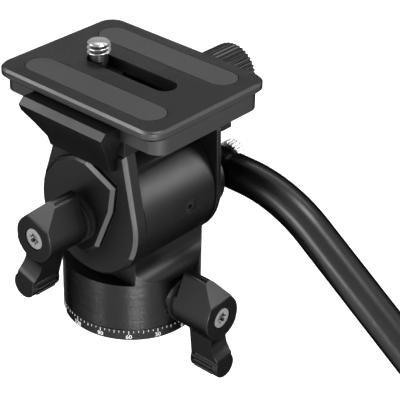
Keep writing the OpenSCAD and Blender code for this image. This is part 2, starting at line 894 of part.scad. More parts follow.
// Trims the jaw in front and behind towards its foot
module jaw_plan_cut() {
    for (end = [-1, 1]) {
        foot_y = end < 0 ? jaw_foot_half : jaw_foot_front;
        side_slab(-jaw_out_x - over, -left_face_x + jaw_wrap_gap)
            polygon([[end * jaw_half, jaw_chin_z], [end * (jaw_half + over), jaw_chin_z],
                [end * (jaw_half + over), jaw_foot_z - over], [end * foot_y, jaw_foot_z - over],
                [end * foot_y, jaw_low_z]]);
    }
}

module clamp_bed() {
    color("#232427") difference() {
        union() {
            end_slab(-jaw_half, jaw_half) clamp_bed_outline();
            block([rib_in_x, -rib_half, rib_foot_z], [bed_right_x, rib_half, bed_top_z]);
        }
        jaw_plan_cut();
        x_rod(clamp_screw_r + run_gap, clamp_thread_end_x, bed_right_x + over, 0, clamp_axis_z);
        for (end = [-1, 1]) {
            x_rod(guide_pin_r + fit_gap, guide_pin_in_x - guide_pin_end_gap, bed_right_x + over,
                end * guide_pin_y, guide_pin_z);
            x_rod(spring_pocket_r, spring_in_x - spring_wire_r, bed_right_x + over, end * spring_y,
                guide_pin_z);
        }
        arm_screw_places() {
            sunk_screw(arm_screw_r + fit_gap, arm_screw_head_r + fit_gap, arm_screw_head_h,
                arm_screw_len);
            translate([0, 0, -over]) cylinder(r = arm_screw_head_r + fit_gap, h = over);
        }
    }
}

module jaw_guide_pins() {
    color("#b9bcc0") for (end = [-1, 1])
        x_rod(guide_pin_r, guide_pin_in_x, guide_pin_out_x, end * guide_pin_y, guide_pin_z);
}

// One round wire wound along X, closed at both ends
module coil_spring(r, wire_r, length, turns) {
    steps = turns * spring_ring_steps;
    sides = spring_wire_sides;
    points = [for (i = [0 : steps], k = [0 : sides - 1])
        let (a = 360 * turns * i / steps, b = 360 * k / sides, ring = r + wire_r * cos(b))
        [wire_r * sin(b) + length * i / steps, ring * cos(a), ring * sin(a)]];
    walls = [for (i = [0 : steps - 1], k = [0 : sides - 1])
        let (n = (k + 1) % sides, a = i * sides + k, b = i * sides + n)
        each [[a, a + sides, b], [b, a + sides, b + sides]]];
    first = [for (k = [1 : sides - 2]) [0, k, k + 1]];
    last = [for (k = [1 : sides - 2]) [steps * sides, steps * sides + k + 1, steps * sides + k]];
    polyhedron(points = points, faces = concat(walls, first, last));
}

module jaw_springs() {
    color("#b9bcc0") for (end = [-1, 1])
        translate([spring_in_x, end * spring_y, guide_pin_z])
            coil_spring(spring_r, spring_wire_r, spring_out_x - spring_in_x, spring_turns);
}

module moving_jaw_outline() {
    polygon(concat([[jaw_back_x, plate_z], [jaw_back_x, moving_jaw_foot_z],
        [moving_jaw_foot_x, moving_jaw_foot_z], [jaw_mid_x, jaw_mid_z], [jaw_chin_x, jaw_chin_z],
        [jaw_out_x, jaw_bevel_z], [jaw_bevel_x, jaw_top_z]], jaw_inside(),
        [[dovetail_x + dovetail_gap, plate_z]]));
}

module moving_jaw() {
    color("#232427") difference() {
        union() {
            end_slab(-jaw_half, jaw_half) moving_jaw_outline();
            x_rod(jaw_boss_r, jaw_back_x + over, jaw_boss_x, 0, clamp_axis_z);
        }
        x_rod(clamp_screw_r + run_gap, jaw_back_x - over, jaw_boss_x + over, 0, clamp_axis_z);
        for (end = [-1, 1]) {
            x_rod(guide_pin_r + run_gap, jaw_back_x - over, guide_pin_out_x + guide_pin_end_gap,
                end * guide_pin_y, guide_pin_z);
            x_rod(spring_pocket_r, jaw_back_x - over, spring_out_x + spring_wire_r + slide_gap,
                end * spring_y, guide_pin_z);
        }
    }
}

module clamp_knob_washer() {
    color("#b9bcc0") x_ring(jaw_boss_r, clamp_screw_r + run_gap, jaw_boss_x + slide_gap,
        jaw_boss_x + slide_gap + knob_washer_t, 0, clamp_axis_z);
}

module clamp_knob() {
    color("#2b2c2f") translate([0, 0, clamp_axis_z]) difference() {
        union() {
            translate([clamp_knob_in_x, 0, 0]) rotate([0, 90, 0])
                cylinder(r1 = clamp_cone_r, r2 = clamp_knob_r, h = clamp_cone_len);
            x_rod(clamp_knob_r, clamp_barrel_x, clamp_knob_out_x);
        }
        for (i = [0 : clamp_knob_flutes - 1]) rotate([i * 360 / clamp_knob_flutes, 0, 0])
            x_rod(flute_r, clamp_knob_in_x - over, clamp_knob_out_x + over, clamp_knob_r);
        x_rod(clamp_screw_r + fit_gap, clamp_knob_in_x - over, clamp_knob_out_x + over);
        x_rod(clamp_knob_dish_r, clamp_knob_out_x - clamp_knob_dish, clamp_knob_out_x + over);
    }
}

module clamp_screw() {
    color("#9b9ea2") x_rod(clamp_screw_r, clamp_screw_tip_x, clamp_knob_out_x - clamp_knob_dish, 0,
        clamp_axis_z);
}

// Quick release plate

module plate_slab(w, l, r, z0, z1, edge) {
    hull() {
        translate([0, 0, z0 + edge]) linear_extrude(z1 - z0 - 2 * edge) round_rect_2d(w, l, r);
        translate([0, 0, z0]) linear_extrude(z1 - z0) round_rect_2d(w - 2 * edge, l - 2 * edge, r - edge);
    }
}

module release_plate() {
    color("#2b2c2f") difference() {
        intersection() {
            union() {
                plate_slab(plate_w, plate_l, plate_corner_r, slab_z, plate_top_z, plate_edge);
                translate([0, 0, plate_z]) linear_extrude(slab_t + web_under_h)
                    round_rect_2d(dovetail_w, plate_l - 2 * plate_edge, foot_corner_r);
            }
            end_slab(-plate_l, plate_l) polygon([[-dovetail_x, plate_z], [-dovetail_x, dovetail_corner_z],
                [-groove_root_x, slab_z], [-plate_w, slab_z], [-plate_w, plate_top_z],
                [plate_w, plate_top_z], [plate_w, slab_z], [groove_root_x, slab_z],
                [dovetail_x, dovetail_corner_z], [dovetail_x, plate_z]]);
        }
        translate([0, 0, plate_z - over]) linear_extrude(web_under_h + over) slot_2d(recess_r, screw_y);
        translate([0, 0, plate_z]) linear_extrude(plate_t + over) slot_2d(slot_r, screw_y);
        for (side = [-1, 1]) translate([side * pad_x, 0, plate_top_z - pad_depth])
            linear_extrude(pad_depth + over) slot_2d(pad_w / 2, (pad_l - pad_w) / 2);
    }
}

module grip_pads() {
    color("#4b4c50") for (side = [-1, 1]) translate([side * pad_x, 0, plate_top_z - pad_depth])
        linear_extrude(pad_depth + pad_proud) slot_2d(pad_w / 2 - pad_gap, (pad_l - pad_w) / 2);
}

module screw_washer() {
    color("#e8e6df") translate([0, screw_y, 0])
        z_ring(screw_washer_r, neck_r + run_gap, screw_head_z + screw_head_t + slide_gap,
            screw_head_z + screw_head_t + slide_gap + screw_washer_t);
}

module camera_screw() {
    thread_r = camera_screw_d / 2;
    thread_z = plate_top_z + thread_foot_h;
    tip_z = plate_top_z + camera_screw_h;
    color("#d5d7da") translate([0, screw_y, 0]) difference() {
        union() {
            z_rod(screw_head_r, screw_head_z, screw_head_z + screw_head_t);
            z_rod(neck_r, screw_head_z, thread_z);
            z_rod(thread_r, thread_z, tip_z - screw_chamfer);
            translate([0, 0, tip_z - screw_chamfer])
                cylinder(r1 = thread_r, r2 = thread_r - screw_chamfer, h = screw_chamfer);
        }
        block([-screw_head_r - over, -coin_slot_w / 2, screw_head_z - over],
            [screw_head_r + over, coin_slot_w / 2, screw_head_z + coin_slot_depth]);
    }
}

// Handle

module handle_mount() {
    color("#232427") difference() {
        union() {
            x_rod(mount_r, right_face_x, mount_face_x - mount_bevel, handle_pivot_y, tilt_z);
            translate([mount_face_x - mount_bevel, handle_pivot_y, tilt_z]) rotate([0, 90, 0])
                cylinder(r1 = mount_r, r2 = mount_r - mount_bevel, h = mount_bevel);
        }
        x_rod(bolt_shank_r + fit_gap, right_face_x - over, mount_face_x + over, handle_pivot_y, tilt_z);
        for (end = [-1, 1]) translate([mount_face_x - mount_screw_sink, handle_pivot_y,
            tilt_z + end * mount_screw_z]) rotate([0, -90, 0]) {
            sunk_screw(mount_screw_r + fit_gap, mount_screw_head_r + fit_gap, mount_screw_head_h,
                mount_face_x);
            translate([0, 0, -over]) cylinder(r = mount_screw_head_r + fit_gap, h = over);
        }
    }
}

module handle_mount_screws() {
    color("#9b9ea2") for (end = [-1, 1])
        translate([mount_face_x - mount_screw_sink, handle_pivot_y, tilt_z + end * mount_screw_z])
            rotate([0, -90, 0]) difference() {
                sunk_screw(mount_screw_r, mount_screw_head_r, mount_screw_head_h,
                    mount_face_x - mount_screw_sink - right_arm_x - mount_screw_tip_gap);
                translate([0, 0, -over])
                    cylinder(r = arm_screw_key_r, h = over + mount_screw_head_h / 2, $fn = 6);
            }
}

module handle_socket() {
    color("#1b1c1e") difference() {
        union() {
            x_rod(rosette_r, rosette_x, rosette_x + rosette_t, handle_pivot_y, tilt_z);
            x_rod(tube_r, rosette_x + rosette_t - fit_gap, handle_x, handle_pivot_y, tilt_z);
            y_rod(tube_r, barrel_end_y, handle_pivot_y, handle_x, tilt_z);
            translate([handle_x, handle_pivot_y, tilt_z]) sphere(r = tube_r);
            y_rod(ring_r, tube_front_y, barrel_end_y, handle_x, tilt_z);
            y_rod(bore_r - fit_gap, spigot_end_y, tube_front_y, handle_x, tilt_z);
        }
        x_rod(bolt_shank_r + run_gap, rosette_x - over, handle_x + tube_d, handle_pivot_y, tilt_z);
    }
}

// Puts children at the middle of the bend, with the tube running up to it along +Z and then -Y
module in_bend() {
    translate([handle_x, bend_y, tilt_z - bend_r]) rotate([0, -90, 180]) children();
}

// Puts children at the far end of the bend, with the straight tail along +Z
module on_tail() {
    in_bend() rotate([0, 0, bend_angle]) translate([bend_r, 0, 0]) rotate([-90, 0, 0]) children();
}

module tube_ring_2d(draw = 0) {
    difference() {
        circle(r = tube_r - draw);
        circle(r = bore_r + draw);
    }
}

module handle_tube() {
    color("#1b1c1e") {
        translate([handle_x, bend_y, tilt_z]) rotate([-90, 0, 0]) linear_extrude(tube_front_y - bend_y)
            tube_ring_2d();
        in_bend() rotate_extrude(angle = bend_angle) translate([bend_r, 0])
            tube_ring_2d(bend_draw);
        on_tail() linear_extrude(tail_len) tube_ring_2d();
    }
}

module handle_grip() {
    color("#141415") on_tail() translate([0, 0, grip_from]) rotate_extrude() difference() {
        polygon([[tube_r + fit_gap, 0], [grip_d / 2 - grip_end_r, 0], [grip_d / 2, grip_end_r],
            [grip_d / 2, grip_len - grip_end_r], [grip_d / 2 - grip_end_r, grip_len],
            [tube_r + fit_gap, grip_len]]);
        for (i = [0 : grip_rib_count - 1])
            translate([grip_d / 2, grip_rib_margin + i * grip_rib_pitch]) circle(r = grip_rib_r, $fn = 24);
    }
}

module handle_end_cap() {
    color("#141415") on_tail() {
        z_rod(grip_d / 2 - grip_end_r, tail_len + fit_gap, tail_len + end_cap_len);
        z_rod(bore_r - fit_gap, tail_len - end_cap_plug, tail_len + fit_gap);
    }
}

module handle_bolt() {
    color("#c4c6c9") translate([0, handle_pivot_y, tilt_z]) difference() {
        union() {
            x_rod(bolt_shank_r, bolt_tip_x, bolt_cap_x);
            x_rod(bolt_cap_r, bolt_cap_x, bolt_cap_x + bolt_cap_len);
        }
        for (i = [0 : bolt_flutes - 1]) rotate([i * 360 / bolt_flutes, 0, 0])
            x_rod(bolt_flute_r, bolt_cap_x - over, bolt_cap_x + bolt_cap_len + over, bolt_cap_r);
        x_rod(bolt_shank_r, bolt_cap_x + bolt_cap_len - bolt_key_depth, bolt_cap_x + bolt_cap_len + over,
            $fn = 6);
    }
}

base_plate();
tripod_socket();
pan_spindle();
spindle_screws();
dust_seal();
pan_center_bolt();
main_housing();
pan_friction_disc();
pan_thrust_washer();
pan_wave_washer();
pan_brake_shoe();
tilt_cartridge();
tilt_bearings();
tilt_end_caps();
tilt_friction_washers();
tilt_set_screw();
pan_knob_washer();
pan_lock_knob();
pan_lock_stud();
pan_knob_screw();
left_arm();
right_arm();
tilt_axle();
tilt_rotor();
clamp_bed();
arm_screws();
jaw_guide_pins();
jaw_springs();
tilt_knob_collar();
handle_mount();
handle_mount_screws();
tilt_lock_knob();
tilt_lock_stud();
tilt_knob_screw();
moving_jaw();
clamp_knob();
clamp_screw();
clamp_knob_washer();
release_plate();
grip_pads();
screw_washer();
camera_screw();
handle_socket();
handle_tube();
handle_grip();
handle_end_cap();
handle_bolt();
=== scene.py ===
"""Looks of a compact fluid video head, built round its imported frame."""

import json
import math

import bmesh
import bpy
from mathutils import Matrix, Vector


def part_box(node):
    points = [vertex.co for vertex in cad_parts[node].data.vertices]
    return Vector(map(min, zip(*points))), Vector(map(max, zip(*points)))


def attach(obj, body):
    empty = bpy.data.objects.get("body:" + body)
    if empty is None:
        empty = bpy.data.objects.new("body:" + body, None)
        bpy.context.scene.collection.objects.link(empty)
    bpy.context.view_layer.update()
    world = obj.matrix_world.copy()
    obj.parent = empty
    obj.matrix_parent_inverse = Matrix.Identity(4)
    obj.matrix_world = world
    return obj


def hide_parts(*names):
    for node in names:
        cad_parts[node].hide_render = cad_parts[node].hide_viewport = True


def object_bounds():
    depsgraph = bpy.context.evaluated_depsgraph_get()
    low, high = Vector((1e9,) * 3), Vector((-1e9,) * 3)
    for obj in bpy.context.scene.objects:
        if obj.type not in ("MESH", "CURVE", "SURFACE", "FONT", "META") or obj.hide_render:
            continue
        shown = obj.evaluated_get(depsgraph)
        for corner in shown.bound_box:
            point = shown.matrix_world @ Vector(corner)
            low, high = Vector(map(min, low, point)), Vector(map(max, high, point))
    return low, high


bl_info = {
    "name": "Fluid video head",
    "version": (1, 0, 0),
    "blender": (4, 5, 0),
    "location": "3D View > Sidebar > Video head",
    "description": "Dresses a compact fluid video head and sets its studio",
    "category": "Object",
}

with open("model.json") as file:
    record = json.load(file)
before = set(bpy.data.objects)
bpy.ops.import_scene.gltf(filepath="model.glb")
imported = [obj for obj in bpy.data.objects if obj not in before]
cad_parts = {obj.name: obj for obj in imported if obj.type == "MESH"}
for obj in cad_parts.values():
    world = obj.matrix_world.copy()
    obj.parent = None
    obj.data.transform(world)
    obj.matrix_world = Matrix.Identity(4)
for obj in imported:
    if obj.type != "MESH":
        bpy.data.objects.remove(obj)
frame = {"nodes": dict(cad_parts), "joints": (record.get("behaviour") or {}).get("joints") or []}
CAD_LOW, CAD_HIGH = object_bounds()
MM = 0.001
FULL_TURN = 2 * math.pi


def in_mm(metres):
    """Metres of the frame as millimetres, to the nearest 0.001."""
    return [round(value / MM, 3) for value in metres]


def joint_at(name):
    """The place of a joint, in millimetres."""
    return in_mm(next(joint for joint in frame["joints"] if joint["name"] == name)["pos_m"])


def corners(node):
    """The lowest and the highest corner of a node at rest, in millimetres."""
    return [in_mm(corner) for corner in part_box(node)]


# Places and sizes in millimetres: what the frame holds is read from it
TILT_Z = joint_at("tilt")[2]
CLAMP_Z = joint_at("clamp_knob_turn")[2]
SCREW_Y = joint_at("camera_screw_turn")[1]
HANDLE_X, HANDLE_Y = joint_at("handle_swing")[:2]

RING_HIGH = corners("base_plate")[1]
DIAL_R = RING_HIGH[0]
DIAL_MARGIN = 0.2
DIAL_TOP = RING_HIGH[2] - DIAL_MARGIN
INK_T = 0.024
POT_WALL_H = 14.0
POT_WALL_TOP = corners("main_housing")[0][2] + POT_WALL_H

ALONG_X = Matrix.Rotation(math.radians(90), 4, "Y")
PAN_KNOB_FRONT, PAN_KNOB_BACK = (corner[1] for corner in corners("pan_lock_knob"))
KNOB_LEN = PAN_KNOB_BACK - PAN_KNOB_FRONT
PAN_KNOB_DEG = 6
PAN_KNOB = Matrix.Translation((0, PAN_KNOB_BACK, joint_at("pan_lock")[2]))
PAN_KNOB = PAN_KNOB @ Matrix.Rotation(math.radians(90), 4, "X")
PAN_KNOB = PAN_KNOB @ Matrix.Rotation(math.radians(PAN_KNOB_DEG), 4, "Z")
TILT_KNOB_DEG = -16
TILT_KNOB = Matrix.Translation((corners("tilt_lock_knob")[1][0], 0, TILT_Z))
TILT_KNOB = TILT_KNOB @ Matrix.Rotation(math.radians(-90), 4, "Z")
TILT_KNOB = TILT_KNOB @ Matrix.Rotation(math.radians(90), 4, "X")
TILT_KNOB = TILT_KNOB @ Matrix.Rotation(math.radians(TILT_KNOB_DEG), 4, "Z")

# The handle's tube leaves its socket, bends once and runs straight; the grip covers the tail's far part
TUBE_LOW, TUBE_HIGH = corners("handle_tube")
TUBE_R = round((TUBE_HIGH[0] - TUBE_LOW[0]) / 2, 3)
FIT = 0.02
BEND_PAST_SOCKET = 0.5
BEND_Y = corners("handle_socket")[0][1] - BEND_PAST_SOCKET
BEND_R = 41.9
BEND_DEG = 35.1
TAIL = 180.0
GRIP_FROM = 72.0
TAIL_START = Matrix.Translation((
    HANDLE_X,
    BEND_Y - BEND_R * math.sin(math.radians(BEND_DEG)),
    TILT_Z - BEND_R + BEND_R * math.cos(math.radians(BEND_DEG)),
)) @ Matrix.Rotation(math.radians(90 + BEND_DEG), 4, "X")


# Shader groups


def group_with(name, inputs, outputs):
    """An empty shader node group with float inputs and outputs, and its two end nodes."""
    tree = bpy.data.node_groups.new(name, "ShaderNodeTree")
    for label, value in inputs:
        socket = tree.interface.new_socket(label, in_out="INPUT", socket_type="NodeSocketFloat")
        socket.default_value = value
    for label in outputs:
        tree.interface.new_socket(label, in_out="OUTPUT", socket_type="NodeSocketFloat")
    return tree, tree.nodes.new("NodeGroupInput"), tree.nodes.new("NodeGroupOutput")


def maths(tree, operation, a, b=None, clamp=False):
    """A math node on two sockets or numbers; gives its result socket."""
    node = tree.nodes.new("ShaderNodeMath")
    node.operation = operation
    node.use_clamp = clamp
    for slot, value in ((0, a), (1, b)):
        if isinstance(value, bpy.types.NodeSocket):
            tree.links.new(value, node.inputs[slot])
        elif value is not None:
            node.inputs[slot].default_value = value
    return node.outputs[0]


def noise_of(tree, coordinates, scale, detail=2.0, roughness=0.5):
    """A noise texture's value; scale is a socket or a number."""
    node = tree.nodes.new("ShaderNodeTexNoise")
    node.inputs["Detail"].default_value = detail
    node.inputs["Roughness"].default_value = roughness
    if coordinates is not None:
        tree.links.new(coordinates, node.inputs["Vector"])
    if isinstance(scale, bpy.types.NodeSocket):
        tree.links.new(scale, node.inputs["Scale"])
    else:
        node.inputs["Scale"].default_value = scale
    return node.outputs["Fac"]


def blasted_grain_group():
    """Fine grain of a blasted or moulded skin: a height, and a speckle for the colour."""
    name = "blasted grain"
    if name in bpy.data.node_groups:
        return bpy.data.node_groups[name]
    tree, start, end = group_with(name, [("Grains per metre", 6000.0)], ["Height", "Speckle"])
    place = tree.nodes.new("ShaderNodeTexCoord").outputs["Object"]
    coarser, fine_part, coarse_part = 0.31, 0.65, 0.35
    fine = noise_of(tree, place, start.outputs[0], 3.0, 0.6)
    coarse = noise_of(tree, place, maths(tree, "MULTIPLY", start.outputs[0], coarser), 2.0, 0.5)
    tree.links.new(maths(tree, "ADD", maths(tree, "MULTIPLY", fine, fine_part),
                         maths(tree, "MULTIPLY", coarse, coarse_part)), end.inputs["Height"])
    tree.links.new(maths(tree, "SUBTRACT", fine, 0.5), end.inputs["Speckle"])
    return tree


def edge_wear_group():
    """A mask that rises where an edge is sharp, broken up as handling does it."""
    name = "edge wear"
    if name in bpy.data.node_groups:
        return bpy.data.node_groups[name]
    tree, start, end = group_with(name, [("Reach", 0.0004), ("Strength", 1.0)], ["Mask"])
    rounded = tree.nodes.new("ShaderNodeBevel")
    rounded.samples = 6
    tree.links.new(start.outputs["Reach"], rounded.inputs["Radius"])
    facing = tree.nodes.new("ShaderNodeNewGeometry")
    dot = tree.nodes.new("ShaderNodeVectorMath")
    dot.operation = "DOT_PRODUCT"
    tree.links.new(rounded.outputs["Normal"], dot.inputs[0])
    tree.links.new(facing.outputs["Normal"], dot.inputs[1])
    bend_gain, patches_per_metre, patch_gain, patch_floor = 9.0, 420.0, 0.9, 0.35
    turn = maths(tree, "SUBTRACT", 1.0, dot.outputs["Value"])
    bend = maths(tree, "MULTIPLY", turn, bend_gain, clamp=True)
    place = tree.nodes.new("ShaderNodeTexCoord").outputs["Object"]
    patches = noise_of(tree, place, patches_per_metre, 3.0)
    broken = maths(tree, "ADD", maths(tree, "MULTIPLY", patches, patch_gain), patch_floor, clamp=True)
    tree.links.new(maths(tree, "MULTIPLY", maths(tree, "MULTIPLY", bend, broken), start.outputs["Strength"],
                         clamp=True), end.inputs["Mask"])
    return tree


def handling_group():
    """Slow change over a hand's width, for sheen that handling and dust leave uneven."""
    name = "handling marks"
    if name in bpy.data.node_groups:
        return bpy.data.node_groups[name]
    tree, start, end = group_with(name, [("Marks per metre", 60.0)], ["Marks", "Dust"])
    place = tree.nodes.new("ShaderNodeTexCoord").outputs["Object"]
    marks = noise_of(tree, place, start.outputs[0], 4.0, 0.62)
    tree.links.new(maths(tree, "SUBTRACT", marks, 0.5), end.inputs["Marks"])
    specks_per_metre, speck_from = 2600.0, 0.79
    specks = noise_of(tree, place, specks_per_metre, 1.0)
    tree.links.new(maths(tree, "GREATER_THAN", specks, speck_from), end.inputs["Dust"])
    return tree


def turned_group():
    """Lines that a lathe leaves round Z, as a height and a shade."""
    name = "turning lines"
    if name in bpy.data.node_groups:
        return bpy.data.node_groups[name]
    tree, start, end = group_with(name, [("Lines per metre", 9000.0)], ["Height", "Shade"])
    place = tree.nodes.new("ShaderNodeTexCoord").outputs["Object"]
    stretch = tree.nodes.new("ShaderNodeMapping")
    along_line = 0.05
    stretch.inputs["Scale"].default_value = (along_line, along_line, 1.0)
    tree.links.new(place, stretch.inputs["Vector"])
    lines = noise_of(tree, stretch.outputs["Vector"], start.outputs[0], 2.0, 0.7)
    tree.links.new(lines, end.inputs["Height"])
    tree.links.new(maths(tree, "SUBTRACT", lines, 0.5), end.inputs["Shade"])
    return tree


def groove_group():
    """Normals of the fine grooves that turning leaves round Z."""
    name = "turning grooves"
    if name in bpy.data.node_groups:
        return bpy.data.node_groups[name]
    tree, start, end = group_with(name, [("Lines per metre", 400000.0), ("Slope", 0.42)], [])
    tree.interface.new_socket("Normal", in_out="OUTPUT", socket_type="NodeSocketVector")
    parts = tree.nodes.new("ShaderNodeSeparateXYZ")
    tree.links.new(tree.nodes.new("ShaderNodeTexCoord").outputs["Object"], parts.inputs[0])
    line = maths(tree, "FLOOR", maths(tree, "MULTIPLY", parts.outputs["Z"], start.outputs["Lines per metre"]))
    random = tree.nodes.new("ShaderNodeTexWhiteNoise")
    random.noise_dimensions = "1D"
    tree.links.new(line, random.inputs["W"])
    tilt = maths(tree, "MULTIPLY", maths(tree, "SUBTRACT", random.outputs["Value"], 0.5), 2.0)
    tilt = maths(tree, "MULTIPLY", tilt, start.outputs["Slope"])
    up = tree.nodes.new("ShaderNodeCombineXYZ")
    tree.links.new(tilt, up.inputs["Z"])
    leaned = tree.nodes.new("ShaderNodeVectorMath")
    tree.links.new(tree.nodes.new("ShaderNodeNewGeometry").outputs["Normal"], leaned.inputs[0])
    tree.links.new(up.outputs[0], leaned.inputs[1])
    even = tree.nodes.new("ShaderNodeVectorMath")
    even.operation = "NORMALIZE"
    tree.links.new(leaned.outputs[0], even.inputs[0])
    tree.links.new(even.outputs[0], end.inputs["Normal"])
    return tree


def placed(tree, group, **values):
    """The group as a node of this material, with its own values."""
    node = tree.nodes.new("ShaderNodeGroup")
    node.node_tree = group
    for label, value in values.items():
        node.inputs[label.replace("_", " ")].default_value = value
    return node


def mixed(tree, factor, a, b):
    """A colour mix; a and b are colours or sockets."""
    node = tree.nodes.new("ShaderNodeMix")
    node.data_type = "RGBA"
    tree.links.new(factor, node.inputs["Factor"])
    for slot, value in ((6, a), (7, b)):
        if isinstance(value, bpy.types.NodeSocket):
            tree.links.new(value, node.inputs[slot])
        else:
            node.inputs[slot].default_value = (*value[:3], 1.0)
    return node.outputs[2]


def empty_material(name):
    """A material with a Principled shader, and its tree and shader."""
    material = bpy.data.materials.new(name)
    material.use_nodes = True
    tree = material.node_tree
    return material, tree, tree.nodes["Principled BSDF"]


def scaled(colour, share):
    return tuple(min(1.0, c * share) for c in colour[:3])


def coated_skin(name, colour, worn, roughness, grains, grain_depth, wear, metallic=0.0, specular=0.25,
                rim_tint=1.0, rough_swing=0.1, lift=0.25, turned=False):
    """A coated, moulded or rubber skin: grain, uneven sheen, dust specks, worn edges, turning grooves."""
    material, tree, shader = empty_material(name)
    grain = placed(tree, blasted_grain_group(), Grains_per_metre=grains)
    marks = placed(tree, handling_group())
    edge = placed(tree, edge_wear_group(), Strength=wear)
    speckle_gain, dust_share, dust_grey, worn_smoother = 1.6, 0.05, (0.5, 0.5, 0.5), 0.12
    speckle = maths(tree, "MULTIPLY", grain.outputs["Speckle"], speckle_gain)
    tone = mixed(tree, maths(tree, "ADD", speckle, 0.5, True),
                 scaled(colour, 1 - lift), scaled(colour, 1 + lift))
    dusty = mixed(tree, maths(tree, "MULTIPLY", marks.outputs["Dust"], dust_share), tone, dust_grey)
    tree.links.new(mixed(tree, edge.outputs["Mask"], dusty, worn), shader.inputs["Base Color"])
    sheen = maths(tree, "MULTIPLY", marks.outputs["Marks"], rough_swing * 2)
    speck = maths(tree, "MULTIPLY", grain.outputs["Speckle"], rough_swing)
    rough = maths(tree, "ADD", maths(tree, "ADD", sheen, speck), roughness)
    smoother = maths(tree, "MULTIPLY", edge.outputs["Mask"], worn_smoother)
    tree.links.new(maths(tree, "SUBTRACT", rough, smoother, True), shader.inputs["Roughness"])
    bump = tree.nodes.new("ShaderNodeBump")
    bump.inputs["Strength"].default_value = 1.0
    bump.inputs["Distance"].default_value = grain_depth * MM
    tree.links.new(grain.outputs["Height"], bump.inputs["Height"])
    if turned:
        tree.links.new(placed(tree, groove_group()).outputs["Normal"], bump.inputs["Normal"])
    tree.links.new(bump.outputs["Normal"], shader.inputs["Normal"])
    shader.inputs["Metallic"].default_value = metallic
    shader.inputs["Specular IOR Level"].default_value = specular
    shader.inputs["Specular Tint"].default_value = (rim_tint, rim_tint, rim_tint, 1.0)
    return material


def machined_metal(name, colour, roughness, lines, depth, stain=(0.2, 0.19, 0.18), swing=0.12):
    """Bare machined metal: turning lines, a slow change of sheen and brighter edges."""
    material, tree, shader = empty_material(name)
    turned = placed(tree, turned_group(), Lines_per_metre=lines)
    marks = placed(tree, handling_group(), Marks_per_metre=140.0)
    edge = placed(tree, edge_wear_group(), Reach=0.0002, Strength=0.6)
    line_gain, darker, lighter, worn_lighter = 1.2, 0.82, 1.1, 1.25
    stain_floor, stain_share = 0.2, 0.25
    shade = maths(tree, "MULTIPLY", turned.outputs["Shade"], line_gain)
    tone = mixed(tree, maths(tree, "ADD", shade, 0.5, True), scaled(colour, darker), scaled(colour, lighter))
    spots = maths(tree, "ADD", marks.outputs["Marks"], stain_floor, True)
    stained = mixed(tree, maths(tree, "MULTIPLY", spots, stain_share), tone, stain)
    tree.links.new(mixed(tree, edge.outputs["Mask"], stained, scaled(colour, worn_lighter)),
                   shader.inputs["Base Color"])
    rough = maths(tree, "ADD", maths(tree, "MULTIPLY", turned.outputs["Shade"], swing), roughness)
    tree.links.new(maths(tree, "ADD", rough, maths(tree, "MULTIPLY", marks.outputs["Marks"], swing), True),
                   shader.inputs["Roughness"])
    bump = tree.nodes.new("ShaderNodeBump")
    bump.inputs["Distance"].default_value = depth * MM
    tree.links.new(turned.outputs["Height"], bump.inputs["Height"])
    tree.links.new(bump.outputs["Normal"], shader.inputs["Normal"])
    shader.inputs["Metallic"].default_value = 1.0
    return material


def print_ink(name, colour):
    """White ink of the dial, a little thin and uneven."""
    material, tree, shader = empty_material(name)
    grain = placed(tree, blasted_grain_group(), Grains_per_metre=14000.0)
    marks = placed(tree, handling_group(), Marks_per_metre=500.0)
    darker, thin_floor, thin_share = 0.8, 0.15, 0.55
    roughness, rough_swing = 0.6, 0.2
    speckle = maths(tree, "ADD", grain.outputs["Speckle"], 0.5, True)
    tone = mixed(tree, speckle, scaled(colour, darker), colour)
    thin = maths(tree, "ADD", marks.outputs["Marks"], thin_floor, True)
    tree.links.new(mixed(tree, thin, tone, scaled(colour, thin_share)), shader.inputs["Base Color"])
    swing = maths(tree, "MULTIPLY", grain.outputs["Speckle"], rough_swing)
    tree.links.new(maths(tree, "ADD", swing, roughness), shader.inputs["Roughness"])
    return material


